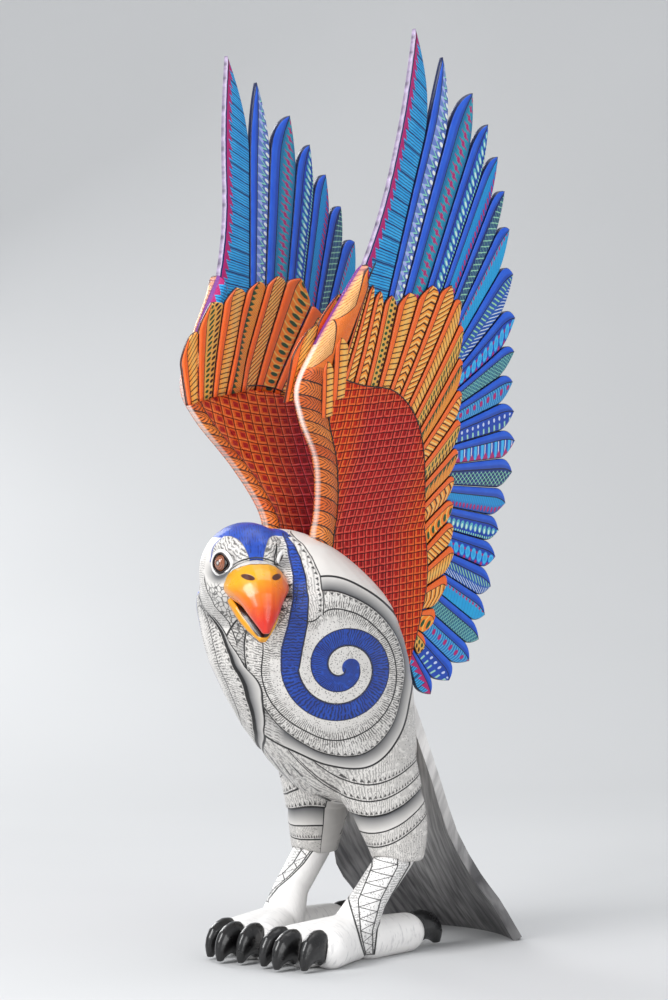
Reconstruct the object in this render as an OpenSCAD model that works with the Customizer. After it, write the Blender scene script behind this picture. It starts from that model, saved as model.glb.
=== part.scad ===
// Standing eagle figure with raised wings, carved in wood and painted.
// +Z is up, the bird faces -Y and its left side is +X. The feet stand on z = 0.

/* [Wings] */
// Number of blue flight feathers in a wing
flight_count = 23; // [18:1:26]
// How much of the second feather's width the foremost one takes
first_extra = 0.42; // [0:0.02:0.44]
// Flight feathers made as single slats, counted from the leading edge
primary_count = 8; // [8:1:8]
// Number of orange covert feathers on each face of a wing
covert_count = 20; // [14:1:22]
// Thickness of a flight feather
feather_t = 6; // [4:0.5:8]
// Thickness of a covert feather
covert_t = 2.5; // [1.5:0.5:3]
// Thickness of the board that carries the feathers
board_t = 12; // [11:0.5:14]
// Thickness of the rounded arm along the leading edge
arm_t = 17; // [14:0.5:20]
// Side gap between neighbouring feathers, as a part of a feather's width
feather_gap = 0.01; // [0.005:0.005:0.05]

/* [Wing joint] */
// Length of the tenon below the wing board
tenon_l = 46; // [30:1:50]
// Width of the tenon along the back
tenon_w = 44; // [30:1:50]
// Thickness of the tenon
tenon_t = 9; // [6:0.5:10]
// Clearance around the wing root and its tenon
wing_clearance = 0.5; // [0.3:0.1:1]

/* [Tail] */
// Thickness of the tail fan
tail_t = 8; // [5:0.5:12]
// Half of the tail's width at the floor
tail_half_w = 82; // [60:1:84]

/* [Head and feet] */
// Radius of an eyeball
eye_r = 9; // [6:0.5:10]
// Turn of the head towards the bird's left, in degrees
head_turn = 56; // [0:1:60]
// Half of a claw's width
claw_half_w = 8; // [6:0.5:8.5]
// Half of a claw's height at its root
claw_half_h = 15; // [12:0.5:16]
// Radius of the neck and hip dowels
dowel_r = 6; // [4:0.5:7]

/* [Smoothness] */
// Points round a section of the body
body_sides = 32; // [24:4:40]
// Rings between two stations of the body
body_steps = 2; // [1:1:3]

/* [Hidden] */
LIMBS = ["left", "right"];
TOES = ["inner", "middle", "outer", "rear"];
PRIMARIES = [for (i = [1:primary_count]) str("primary_", i)];

front_shift = -13.7;     // moves the figure so that its footprint is centred on the origin
lift_axis = [0, 0.6, 0.8];
bend_low = 350;          // the wing is upright below this height
bend_high = 750;         // and leans outward up to this one
bend_steps = 14;
big = 400;
fit_gap = 0.12;          // holes are this much larger than the dowels and eyes they hold

// ---- curves and surfaces ----------------------------------------------------------------

function unit(v) = v / norm(v);

// One span of a curve that passes smoothly through its control values
function span(a, b, c, d, t) =
    0.5 * (2 * b + (c - a) * t + (2 * a - 5 * b + 4 * c - d) * t * t
           + (3 * b - a - 3 * c + d) * t * t * t);

// The curve through a list of control values at u from 0 to 1, straight beyond its ends
function along(list, u) =
    let (last = len(list) - 1, s = u * last, i = min(max(floor(s), 0), last - 1))
    u < 0 ? list[0] + (list[1] - list[0]) * s
    : u > 1 ? list[last] + (list[last] - list[last - 1]) * (s - last)
    : span(list[max(i - 1, 0)], list[i], list[i + 1], list[min(i + 2, last)], s - i);

// Three-point curve from a to b, drawn towards c, without its first point
function bend(a, c, b, steps) =
    [for (k = [1:steps]) let (t = k / steps)
        a * (1 - t) * (1 - t) + c * 2 * t * (1 - t) + b * t * t];

// A ring of points about centre c, on the half axes a and b
function ring(c, a, b, sides) =
    [for (k = [0:sides - 1]) c + a * cos(360 * k / sides) + b * sin(360 * k / sides)];

// Closed skin over a list of rings
module skin(rings) {
    m = len(rings);
    n = len(rings[0]);
    points = [for (r = rings, p = r) p];
    sides = [for (i = [0:m - 2], k = [0:n - 1]) let (j = (k + 1) % n)
        each [[i * n + k, i * n + j, (i + 1) * n + k], [i * n + j, (i + 1) * n + j, (i + 1) * n + k]]];
    ends = [[for (k = [n - 1:-1:0]) k], [for (k = [0:n - 1]) (m - 1) * n + k]];
    polyhedron(points = points, faces = [for (f = concat(sides, ends)) [for (i = [len(f) - 1:-1:0]) f[i]]]);
}

// Upright body from stations [height, centre x, centre y, half width, half depth]
module upright(stations, sides, steps, turn = 0) {
    total = (len(stations) - 1) * steps;
    skin([for (k = [0:total]) let (s = along(stations, k / total))
        ring([s[1], s[2], s[0]], max(s[3], 1) * [cos(turn), sin(turn), 0],
             max(s[4], 1) * [-sin(turn), cos(turn), 0], sides)]);
}

// Horn in the YZ plane from stations [y, z, half width, half height, pitch]
module horn(stations, sides, steps) {
    total = (len(stations) - 1) * steps;
    skin([for (k = [0:total]) let (s = along(stations, k / total))
        ring([0, s[0], s[1]], [-max(s[2], 0.4), 0, 0],
             max(s[3], 0.4) * [0, sin(s[4]), cos(s[4])], sides)]);
}

// Joins carved forms into one surface
module carved() { resize([0, 0, 0]) children(); }
module placed() { translate([0, front_shift, 0]) children(); }
module on_side(side) { mirror([side == "left" ? 0 : 1, 0, 0]) children(); }

// ---- body ------------------------------------------------------------------------------

// [height, centre x, centre y, half width, half depth] of the torso
TORSO = [[122, 0, 26, 14, 24], [132, 0, 22, 36, 48], [150, 0, 13, 50, 66], [190, 0, -10, 60, 85],
         [243, 0, -34, 70, 96], [275, 0, -48, 76, 88], [298, 0, -59, 76, 78], [320, 0, -68, 62, 62],
         [335, 0, -74, 48, 46], [347, 0, -80, 30, 30], [352, 0, -82, 12, 12]];
// [height, centre x, centre y, half width, half depth] of the left thigh
THIGH = [[205, 28, -14, 22, 42], [180, 30, -4, 26, 44], [155, 32, 6, 27, 43], [132, 35, 14, 26, 39],
         [108, 41, 21, 23, 33], [88, 45, 23, 20, 26], [77, 46, 23, 18, 22]];
thigh_turn = -14;        // each thigh is deeper from its inner front to its outer back
HEAD_CENTRE = [0, -112, 318];
HEAD_R = 39;

module torso_form() { upright(TORSO, body_sides, body_steps); }

module thigh_form(side) {
    on_side(side) upright([for (i = [len(THIGH) - 1:-1:0]) THIGH[i]], body_sides - 8, body_steps, thigh_turn);
}

// Lower edge of the wing board on the bird's back, front to rear, in [y, z]
ROOT_EDGE = [[-64, 335], [-45, 327], [-16, 309], [6, 289], [25, 267], [44, 240], [51, 226]];

// The arm's own root, down the front of the arm and back along its lower end. Its cut is wider,
// because the arm begins to lean outward here.
ARM_ROOT = [[-62, 364], [-65, 335], [-45, 327]];

// Cut in the back for a part of the wing root, as wide as half_t to each side
module root_slot(half_t, root) {
    out = 90 * [lift_axis[1], lift_axis[2]];
    down = -wing_clearance * [lift_axis[1], lift_axis[2]];
    edge = [for (point = root) point + down];
    rotate([90, 0, 90]) translate([0, 0, wing_root_x - half_t]) linear_extrude(2 * half_t)
        polygon(concat(edge, [for (i = [len(edge) - 1:-1:0]) edge[i] + out]));
}

// Tenon of the wing, larger all round by grow
module tenon_form(grow) {
    slope = [-lift_axis[2], lift_axis[1]];
    centre = [-2, 292] + 16 * [lift_axis[1], lift_axis[2]];
    half = (tenon_w / 2 + grow) * slope;
    foot = -(tenon_l + 16 + grow) * [lift_axis[1], lift_axis[2]];
    translate([wing_root_x - tenon_t / 2 - grow, 0, 0]) rotate([90, 0, 90])
        linear_extrude(tenon_t + 2 * grow)
            polygon([centre + half, centre - half, centre - half + foot, centre + half + foot]);
}

// A dowel along +Z, or its hole when grow is the gap round it
module pin(length, radius, grow) {
    translate([0, 0, -grow]) cylinder(h = length + 2 * grow, r = radius + grow, $fn = 32);
}
module neck_dowel_form(grow = 0) {
    translate([0, -84, 262]) pin(48, dowel_r, grow);
}
module hip_dowel_form(side, grow = 0) {
    on_side(side) translate([14, 4, 158]) rotate([0, 90, 0]) pin(38, dowel_r, grow);
}
module ankle_dowel_form(side, grow = 0) {
    on_side(side) translate([45, 20, 62]) pin(58, dowel_r - 1, grow);
}
module tail_dowel_form(grow = 0) {
    for (x = [-9, 9]) translate([x, 32, 212]) rotate([-90, 0, 0]) pin(39, 3, grow);
}

module torso() {
    color("gainsboro") placed() carved() difference() {
        torso_form();
        head_form();
        upper_beak_form();
        lower_beak_form();
        for (side = LIMBS) {
            on_side(side) root_slot(board_t / 2 + wing_clearance, ROOT_EDGE);
            on_side(side) root_slot(arm_t / 2 + 3 * wing_clearance, ARM_ROOT);
            on_side(side) tenon_form(wing_clearance);
            eye_form(side, fit_gap);
            hip_dowel_form(side, fit_gap);
        }
        neck_dowel_form(fit_gap);
        tail_dowel_form(fit_gap);
        tail_form();
    }
}

// The head looks along -Y before it is turned; its centre is its origin
module on_head() {
    translate(HEAD_CENTRE) rotate([0, 0, head_turn]) children();
}

// [y, z, half width, half height, pitch] from the back of the head to the face
HEAD = [[38, -8, 3, 4, 0], [33, -7, 20, 23, 0], [20, -3, 33, 36, 0], [0, 0, 38, 40, 0],
        [-18, -2, 32, 36, 0], [-29, -6, 25, 29, 0], [-36, -10, 20, 20, 0]];
// The same for the upper beak, which hooks down, and the lower one
UPPER_BEAK = [[-30, -9, 24, 19, 0], [-42, -11, 23, 19, -12], [-53, -18, 18.5, 16, -35],
              [-62, -31, 12.5, 11, -60], [-68, -47, 2.5, 3, -80]];
LOWER_BEAK = [[-26, -27, 20, 8, -20], [-38, -33, 18, 8, -28], [-49, -43, 12, 6.5, -40],
              [-58, -53, 3, 3, -52]];

module head_form() {
    on_head() horn([for (i = [len(HEAD) - 1:-1:0]) HEAD[i]], 28, 2);
    // the nape runs down into the shoulders
    upright([[285, 0, -92, 48, 48], [310, 0, -98, 45, 44], [332, 0, -98, 34, 34], [346, 0, -94, 18, 20]], 28, 1);
}
module upper_beak_form() {
    on_head() horn([for (i = [len(UPPER_BEAK) - 1:-1:0]) UPPER_BEAK[i]], 20, 2);
}
module lower_beak_form() {
    on_head() horn([for (i = [len(LOWER_BEAK) - 1:-1:0]) LOWER_BEAK[i]], 16, 2);
}
module eye_form(side, grow = 0) {
    on_head() translate([side == "left" ? 22.5 : -22.5, -19.5, 7]) sphere(r = eye_r + grow, $fn = 32);
}

module head() {
    color("whitesmoke") placed() carved() difference() {
        head_form();
        upper_beak_form();
        lower_beak_form();
        for (side = LIMBS) eye_form(side, fit_gap);
        neck_dowel_form(fit_gap);
    }
}
module upper_beak() { color("orange") placed() upper_beak_form(); }
module lower_beak() {
    color("orange") placed() carved() difference() {
        lower_beak_form();
        upper_beak_form();
    }
}
module eye(side) { color("saddlebrown") placed() eye_form(side); }

module thigh(side) {
    color("gainsboro") placed() carved() difference() {
        thigh_form(side);
        torso_form();
        if (side == "right") thigh_form("left");
        foot_form(side);
        hip_dowel_form(side, fit_gap);
        ankle_dowel_form(side, fit_gap);
    }
}

// ---- feet ------------------------------------------------------------------------------

// Where each claw's root is, [x, y], and the way it points, in degrees from -Y towards +X
CLAWS = [[14, -86, -4], [31, -91, 0], [50, -81, 4], [41, 52, 180]];

// [y, z, half width, half height, pitch] of a claw, from its root to its point
function claw_stations() =
    [[5, 19, 0.9 * claw_half_w, 0.86 * claw_half_h, 0], [-2, 18, claw_half_w, claw_half_h, -8],
     [-11, 16, 0.9 * claw_half_w, 0.8 * claw_half_h, -35], [-17, 9, 0.62 * claw_half_w, 7, -65],
     [-19, 2, 2.4, 2.6, -85]];

module claw_form(side, toe) {
    c = CLAWS[toe];
    on_side(side) translate([c[0], c[1], 0]) rotate([0, 0, c[2]])
        intersection() {
            scale([1, toe == 3 ? 1.45 : 1, 1]) horn([for (i = [4:-1:0]) claw_stations()[i]], 14, 2);
            translate([-20, -40, 0]) cube([40, 60, 50]);
        }
}
module claw(side, toe) { color("black") placed() carved() claw_form(side, toe); }

// Tapered limb between two points
module limb(a, ra, b, rb) {
    hull() {
        translate(a) sphere(r = ra, $fn = 20);
        translate(b) sphere(r = rb, $fn = 20);
    }
}

module foot_form(side) {
    on_side(side) intersection() {
        union() {
            limb([46, 22, 82], 15, [43, -10, 50], 14.5);
            limb([43, -10, 50], 14.5, [38, -30, 19], 20);
            for (t = [0:2]) limb([38, -34, 19], 20, [CLAWS[t][0], CLAWS[t][1] + 14, 15.5], 16.5);
            limb([40, -8, 16], 18, [41, 38, 15.5], 16.5);
        }
        translate([0, -big / 2, 0]) cube([big, big, big]);
    }
}
module foot(side) {
    color("white") placed() carved() difference() {
        foot_form(side);
        for (t = [0:3]) claw_form(side, t);
        ankle_dowel_form(side, fit_gap);
    }
}

// ---- tail ------------------------------------------------------------------------------

// Down the middle of the tail, [y, z], and down its left edge, [half width, y, z]
TAIL_MIDDLE = [[60, 240], [75, 190], [80, 146], [94, 100], [120, 58], [148, 26], [176, 0]];
TAIL_EDGE = [[0.2, 57, 236], [0.38, 64, 190], [0.58, 70, 142], [0.8, 71, 97], [0.95, 88, 60],
             [0.97, 111, 37], [0.97, 132, 13]];

// Point on the tail's middle surface, with k down its length and side from -1 to 1
function on_tail(k, side) =
    let (m = along(TAIL_MIDDLE, k), e = along(TAIL_EDGE, k), s = side * side)
    [side * e[0] * tail_half_w, m[0] + (e[1] - m[0]) * s, m[1] + (e[2] - m[1]) * s];

function tail_normal(k, side) =
    unit(cross(on_tail(k, side + 0.05) - on_tail(k, side - 0.05), on_tail(k - 0.02, side) - on_tail(k + 0.02, side)));

module tail_form() {
    rows = 12;
    columns = 6;
    half_t = tail_t / 2;
    intersection() {
        skin([for (r = [rows + 1:-1:0]) let (k = r / rows)
            concat([for (c = [-columns:columns]) on_tail(k, c / columns) + half_t * tail_normal(k, c / columns)],
                   [for (c = [columns:-1:-columns])
                       on_tail(k, c / columns) - half_t * tail_normal(k, c / columns)])]);
        translate([-big / 2, -big / 2, 0]) cube(big);
    }
}
module tail_fan() {
    color("white") placed() carved() difference() {
        tail_form();
        tail_dowel_form(fit_gap);
    }
}

// ---- wings -----------------------------------------------------------------------------

// All outlines are in [y, z]; the left wing is drawn and the right one mirrors it.
LEAD = [[-64, 335], [-61, 364], [-79, 404], [-110, 440], [-121, 465], [-106, 498], [-82, 534], [-62, 562]];
ARM_BACK = [[-45, 327], [-41, 362], [-58, 400], [-82, 438], [-90, 468], [-81, 500], [-66, 534], [-53, 564]];
// Rear edge of the board, from the wrist to the bird's back
BOARD_EDGE = [[-89, 474], [-50, 467], [-7, 463], [27, 441], [51, 404], [73, 356], [78, 306], [60, 250]];
// Where the flight feathers sit along that edge
FLIGHT_SEATS = [0.12, 0.26, 0.37, 0.41, 0.44, 0.49, 0.56, 0.64, 0.735, 0.83, 0.92, 1];
FLIGHT_TIPS = [[-26, 752], [51, 709], [92, 661], [120, 603], [143, 530], [152, 476],
               [171, 426], [184, 372], [178, 325], [163, 275], [141, 236], [88, 210]];
COVERT_SEATS = [0.06, 0.2, 0.36, 0.52, 0.68, 0.84, 0.96];
COVERT_TIPS = [[-56, 550], [-22, 540], [56, 550], [80, 474], [98, 398], [118, 333], [78, 250]];

// How far the wing's middle surface is from the bird's middle, at equal steps of height
WING_X = [26, 50, 66.5, 77.5, 88, 98.3, 103];
wing_root_x = WING_X[0];

function wing_x(z) = along(WING_X, max(0, z - bend_low) / (bend_high - bend_low));

WING_HEIGHTS = concat([180], [for (k = [0:bend_steps]) bend_low + (bend_high - bend_low) * k / bend_steps], [790]);

// Layer of the curved wing between two distances from its middle surface
module layer(inner, outer) {
    rotate([90, 0, 0]) linear_extrude(2 * big, center = true)
        polygon(concat([for (z = WING_HEIGHTS) [wing_x(z) + outer, z]],
                       [for (i = [len(WING_HEIGHTS) - 1:-1:0]) let (z = WING_HEIGHTS[i]) [wing_x(z) + inner, z]]));
}
module cut_from_layer(inner, outer) {
    intersection() {
        rotate([90, 0, 90]) linear_extrude(big / 2) children();
        layer(inner, outer);
    }
}

module arm_outline() {
    steps = 22;
    polygon(concat([for (k = [0:steps]) along(LEAD, k / steps)],
                   [for (k = [steps:-1:0]) along(ARM_BACK, k / steps)]));
}

module board_outline() {
    steps = 24;
    difference() {
        polygon(concat([for (k = [0:steps]) along(BOARD_EDGE, k / steps)],
                       [for (i = [len(ROOT_EDGE) - 1:-1:1]) ROOT_EDGE[i]],
                       [for (k = [1:12]) along(ARM_BACK, k / 20) - [6, 0]]));
        arm_outline();
    }
}

// Feather number i of count, from its seat on the board to its rounded tip
function feather(seats, tips, i, count, notch, extra = 0) =
    let (front = i - 0.5 + feather_gap + (i == 1 ? extra : 0),
         u1 = (i + 0.5 - feather_gap + (i == 0 ? extra : 0)) / (count - 1),
         // the foremost feather is broad at its seat and has its tip on its leading edge
         u0 = max(front, 0) / (count - 1), s0 = max(front, -0.3) / (count - 1),
         b0 = along(BOARD_EDGE, along(seats, s0)), b1 = along(BOARD_EDGE, along(seats, u1)),
         t0 = along(tips, u0), t1 = along(tips, u1), tip = along(tips, i / (count - 1)),
         d0 = unit(t0 - b0), d1 = unit(t1 - b1), n0 = t0 - notch * d0, n1 = t1 - notch * d1)
    concat([b0 - 14 * d0, n0], bend(n0, n0 + 0.6 * notch * d0, tip, 4),
           bend(tip, n1 + 0.5 * notch * d1, n1, 4), [b1 - 14 * d1]);

function flight_notch(i) = 18 + 52 * pow(0.75, i);

module flight_outline(i) {
    difference() {
        polygon(feather(FLIGHT_SEATS, FLIGHT_TIPS, i, flight_count, flight_notch(i), first_extra));
        board_outline();
        arm_outline();
    }
}
module covert_outline(i) {
    difference() {
        polygon(feather(COVERT_SEATS, COVERT_TIPS, i, covert_count, 11));
        board_outline();
        arm_outline();
    }
}

module wing_board(side) {
    color("firebrick") placed() on_side(side) union() {
        cut_from_layer(-board_t / 2, board_t / 2) board_outline();
        tenon_form(0);
    }
}
module wing_arm(side) {
    color("darkorange") placed() on_side(side) cut_from_layer(-arm_t / 2, arm_t / 2) arm_outline();
}
module primary(side, i) {
    color("dodgerblue") placed() on_side(side)
        cut_from_layer(-feather_t / 2, feather_t / 2) flight_outline(i);
}
module secondaries(side) {
    color("royalblue") placed() on_side(side)
        cut_from_layer(-feather_t / 2, feather_t / 2)
            for (i = [primary_count:flight_count - 1]) flight_outline(i);
}
module outer_coverts(side) {
    color("orange") placed() on_side(side)
        cut_from_layer(feather_t / 2, feather_t / 2 + covert_t)
            for (i = [0:covert_count - 1]) covert_outline(i);
}
module inner_coverts(side) {
    color("orange") placed() on_side(side)
        cut_from_layer(-feather_t / 2 - covert_t, -feather_t / 2)
            for (i = [0:covert_count - 1]) covert_outline(i);
}

// ---- parts -----------------------------------------------------------------------------

torso();
head();
upper_beak();
lower_beak();
tail_fan();
color("tan") placed() tail_dowel_form();  // tail_dowels
color("tan") placed() neck_dowel_form();  // neck_dowel
for (s = LIMBS) {
    eye(s);
    thigh(s);
    foot(s);
    color("tan") placed() hip_dowel_form(s);
    color("tan") placed() ankle_dowel_form(s);
    for (t = [0:3])
        claw(s, t);
    wing_board(s);
    wing_arm(s);
    for (i = [0:primary_count - 1])
        primary(s, i);
    secondaries(s);
    outer_coverts(s);
    inner_coverts(s);
}
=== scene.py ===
"""Looks of the standing eagle figure: carved wood, painted feather by feather.

Everything is in the frame of the CAD model: +Z up, the bird faces -Y, its left side is +X.
Shapes are worked out in millimetres and scaled to metres as their meshes are made.
"""

import math

import bmesh
import bpy
import numpy as np
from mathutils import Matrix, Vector
from mathutils.kdtree import KDTree


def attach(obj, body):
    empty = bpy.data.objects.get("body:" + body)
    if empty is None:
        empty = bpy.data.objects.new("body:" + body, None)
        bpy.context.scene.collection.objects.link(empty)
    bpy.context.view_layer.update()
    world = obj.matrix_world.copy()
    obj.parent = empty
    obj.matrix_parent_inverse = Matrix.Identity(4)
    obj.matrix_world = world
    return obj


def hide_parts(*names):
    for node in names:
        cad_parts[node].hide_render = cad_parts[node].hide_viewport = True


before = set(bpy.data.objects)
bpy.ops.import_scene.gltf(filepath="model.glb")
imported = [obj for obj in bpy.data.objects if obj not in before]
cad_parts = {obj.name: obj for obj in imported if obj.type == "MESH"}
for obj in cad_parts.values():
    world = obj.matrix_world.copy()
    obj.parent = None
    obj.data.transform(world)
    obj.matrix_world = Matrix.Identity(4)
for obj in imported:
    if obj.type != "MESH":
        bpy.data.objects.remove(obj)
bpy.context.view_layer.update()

MM = 0.001
SIDES = {"left": 1, "right": -1}

# ---- dimensions of the wings, as in the CAD model, in millimetres ------------------------

FRONT_SHIFT = -13.7
FLIGHT_COUNT = 23
PRIMARY_COUNT = 8
COVERT_COUNT = 20
FEATHER_GAP = 0.01
FIRST_EXTRA = 0.42
# Not in the CAD model: how far forward the root of the first feather flares, the height where that
# begins, and how far down it takes to reach its full measure
FLARE = 11
FLARE_TOP = 640
FLARE_TALL = 80
HALF_FEATHER = 3.0
COVERT_TOP = 5.5
HALF_BOARD = 6.0
HALF_ARM = 8.5
LIFT_AXIS = np.array([0, 0.6, 0.8])

# Outlines in (y, z), from the back of the bird or the wrist outwards
LEAD = [(-64, 335), (-61, 364), (-79, 404), (-110, 440), (-121, 465), (-106, 498), (-82, 534), (-62, 562)]
ARM_BACK = [(-45, 327), (-41, 362), (-58, 400), (-82, 438), (-90, 468), (-81, 500), (-66, 534), (-53, 564)]
BOARD_EDGE = [(-89, 474), (-50, 467), (-7, 463), (27, 441), (51, 404), (73, 356), (78, 306), (60, 250)]
FLIGHT_SEATS = [0.12, 0.26, 0.37, 0.41, 0.44, 0.49, 0.56, 0.64, 0.735, 0.83, 0.92, 1]
FLIGHT_TIPS = [(-26, 752), (51, 709), (92, 661), (120, 603), (143, 530), (152, 476),
               (171, 426), (184, 372), (178, 325), (163, 275), (141, 236), (88, 210)]
COVERT_SEATS = [0.06, 0.2, 0.36, 0.52, 0.68, 0.84, 0.96]
COVERT_TIPS = [(-56, 550), (-22, 540), (56, 550), (80, 474), (98, 398), (118, 333), (78, 250)]
# On the inner face the coverts and the red patch reach over the arm
INNER_SEATS = [(-118, 458), (-101, 462), (-84, 465), (-66, 467), (-46, 470), (-24, 470), (0, 464),
               (27, 441), (51, 404), (73, 356), (78, 306), (60, 250)]
INNER_TIPS = [(-111, 508), (-80, 538), (-44, 553), (-14, 560), (10, 566), (40, 566), (68, 527),
              (82, 468), (98, 398), (118, 333), (112, 290), (78, 250)]
# Two short coverts lie over the wrist outside: their seats and tips, front and rear
WRIST_SEATS = [[(-98, 453), (-84, 456)], [(-88, 467), (-72, 471)]]
WRIST_TIPS = [[(-105, 484), (-91, 487)], [(-94, 503), (-76, 505)]]
INNER_STATIONS = [0, 1, 2, 3, 4, 5, 6, 6.55, 7.05, 7.55, 8.05, 8.55, 9.05, 9.5, 9.95, 10.4, 10.8]
WING_X = [26, 50, 66.5, 77.5, 88, 98.3, 103]
BEND_LOW, BEND_HIGH = 350, 750


def between(a, b, d, e, t):
    """Smooth curve from b, at t = 0, to d, at t = 1, with the points a and e to either side of them."""
    square = (2 * a - 5 * b + 4 * d - e) * t * t
    return 0.5 * (2 * b + (d - a) * t + square + (3 * b - a - 3 * d + e) * t ** 3)


def along(controls, u):
    """The smooth curve through control values at u from 0 to 1, straight beyond its ends."""
    c = np.asarray(controls, float)
    last = len(c) - 1
    s = u * last
    if u < 0:
        return c[0] + (c[1] - c[0]) * s
    if u > 1:
        return c[last] + (c[last] - c[last - 1]) * (s - last)
    i = min(int(s), last - 1)
    t = s - i
    a, b, d, e = c[max(i - 1, 0)], c[i], c[i + 1], c[min(i + 2, last)]
    return between(a, b, d, e, t)


def wing_x(z):
    """How far the wing's middle surface is from the bird's middle at height z."""
    return along(WING_X, max(0, z - BEND_LOW) / (BEND_HIGH - BEND_LOW))


def unit(v):
    return v / np.linalg.norm(v)


def ease(low, high, value):
    """0 below low, 1 above high, smooth between."""
    t = np.clip((value - low) / (high - low), 0, 1)
    return t * t * (3 - 2 * t)


# ---- materials: nodes made by plain arithmetic --------------------------------------------


def tint(code):
    """Linear colour of an sRGB hex code."""
    parts = [int(code[i:i + 2], 16) / 255 for i in (1, 3, 5)]
    return tuple(p / 12.92 if p < 0.04045 else ((p + 0.055) / 1.055) ** 2.4 for p in parts) + (1,)


BLACK = tint("#0c0b0d")
INK = tint("#17161a")
CYAN = tint("#1497dc")
SKY = tint("#3fb8f2")
ROYAL = tint("#1450d2")
DEEP = tint("#0f2f86")
NAVY = tint("#0b2261")
MINT = tint("#8fe0b8")
MAGENTA = tint("#b31c6c")
VERMILION = tint("#f4601a")
ORANGE = tint("#fb861c")
GOLD = tint("#fbb04a")
PINE = tint("#1d4d2a")
UMBER = tint("#3a1c0c")


class Field:
    """A number that varies over a surface. Arithmetic on it adds nodes to its material."""

    def __init__(self, paint, socket):
        self.paint = paint
        self.socket = socket

    def do(self, operation, *others):
        return self.paint.math(operation, self, *others)

    def __add__(self, other):
        return self.do("ADD", other)

    def __sub__(self, other):
        return self.do("SUBTRACT", other)

    def __rsub__(self, other):
        return self.paint.math("SUBTRACT", other, self)

    def __mul__(self, other):
        return self.do("MULTIPLY", other)

    def __truediv__(self, other):
        return self.do("DIVIDE", other)

    def __or__(self, other):
        """The larger of the two."""
        return self.do("MAXIMUM", other)

    def __and__(self, other):
        """The smaller of the two."""
        return self.do("MINIMUM", other)

    def __neg__(self):
        return self.do("MULTIPLY", -1)

    def __abs__(self):
        return self.do("ABSOLUTE")

    def fract(self):
        return self.do("FRACT")

    def root(self):
        return self.do("SQRT")

    __radd__ = __add__
    __rmul__ = __mul__

    def above(self, edge, soft=0.12):
        """1 where the number is above edge, 0 below, over a short ramp."""
        return self.paint.ramp(self, edge, soft)

    def below(self, edge, soft=0.12):
        return 1 - self.above(edge, soft)

    def within(self, low, high, soft=0.12):
        return self.above(low, soft) * self.below(high, soft)

    def line(self, at, width, soft=0.12):
        """1 on a line of that width where the number passes at."""
        return abs(self - at).below(width / 2, soft)

    def repeat(self, pitch):
        """Distance from the middle of each repeat, from -pitch/2 to pitch/2."""
        return (self / pitch).fract() * pitch - pitch / 2

    def step(self, pitch):
        """Whole number of the repeat."""
        return (self / pitch).do("FLOOR")


class Paint:
    """One material, built round its Principled shader."""

    def __init__(self, name, roughness=0.5, coat=0.0, coat_roughness=0.2, specular=0.5):
        self.material = bpy.data.materials.new(name)
        self.material.use_nodes = True
        tree = self.material.node_tree
        self.nodes = tree.nodes
        self.links = tree.links
        self.shader = self.nodes["Principled BSDF"]
        self.shader.inputs["Roughness"].default_value = roughness
        self.shader.inputs["Coat Weight"].default_value = coat
        self.shader.inputs["Coat Roughness"].default_value = coat_roughness
        self.shader.inputs["Specular IOR Level"].default_value = specular

    def put(self, socket, value):
        if isinstance(value, Field):
            self.links.new(value.socket, socket)
        else:
            socket.default_value = value

    def node(self, kind, inputs, output=0, **settings):
        made = self.nodes.new(kind)
        for key, value in settings.items():
            setattr(made, key, value)
        for key, value in inputs.items():
            self.put(made.inputs[key], value)
        return Field(self, made.outputs[output])

    def math(self, operation, *values):
        return self.node("ShaderNodeMath", dict(enumerate(values)), operation=operation)

    def ramp(self, value, edge, soft):
        if isinstance(edge, Field):
            value = value - edge
            edge = 0
        return self.node("ShaderNodeMapRange", {"Value": value, "From Min": edge - soft,
                                                "From Max": edge + soft})

    def vector(self, name):
        """The three numbers of a vector stored on the mesh."""
        stored = self.node("ShaderNodeAttribute", {}, "Vector", attribute_name=name)
        return self.split(stored)

    def number(self, name):
        return self.node("ShaderNodeAttribute", {}, "Fac", attribute_name=name)

    def split(self, vector):
        parts = self.nodes.new("ShaderNodeSeparateXYZ")
        self.links.new(vector.socket, parts.inputs[0])
        return [Field(self, parts.outputs[k]) for k in range(3)]

    def join(self, x, y, z=0.0):
        return self.node("ShaderNodeCombineXYZ", {0: x, 1: y, 2: z})

    def place(self):
        """Where a point is on the object, in millimetres."""
        made = self.nodes.new("ShaderNodeTexCoord")
        return [part * 1000 for part in self.split(Field(self, made.outputs["Object"]))]

    def noise(self, vector, size, detail=2.0):
        """Cloudy noise from 0 to 1 with features of that size, in the vector's own units."""
        return self.node("ShaderNodeTexNoise", {"Vector": vector, "Scale": 1 / size, "Detail": detail},
                         "Fac")

    def cells(self, vector, size, output="Distance", feature="F1"):
        return self.node("ShaderNodeTexVoronoi", {"Vector": vector, "Scale": 1 / size}, output,
                         feature=feature)

    def mix(self, mask, low, high):
        """low where mask is 0, high where it is 1. Both are colours."""
        made = self.nodes.new("ShaderNodeMix")
        made.data_type = "RGBA"
        for socket, value in zip((made.inputs[0], made.inputs[6], made.inputs[7]), (mask, low, high)):
            self.put(socket, value)
        return Field(self, made.outputs[2])

    def choose(self, mask, low, high):
        """The same for numbers."""
        return low + (high - low) * mask

    def finish(self, colour, height=None, relief=0.3, roughness=None):
        """Sets the colour, and the relief in millimetres for a height from 0 to 1."""
        self.put(self.shader.inputs["Base Color"], colour)
        if roughness is not None:
            self.put(self.shader.inputs["Roughness"], roughness)
        if height is not None:
            bump = self.node("ShaderNodeBump", {"Height": height, "Distance": relief * MM, "Strength": 1.0})
            self.put(self.shader.inputs["Normal"], bump)
        return self.material


# ---- meshes --------------------------------------------------------------------------------


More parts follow.
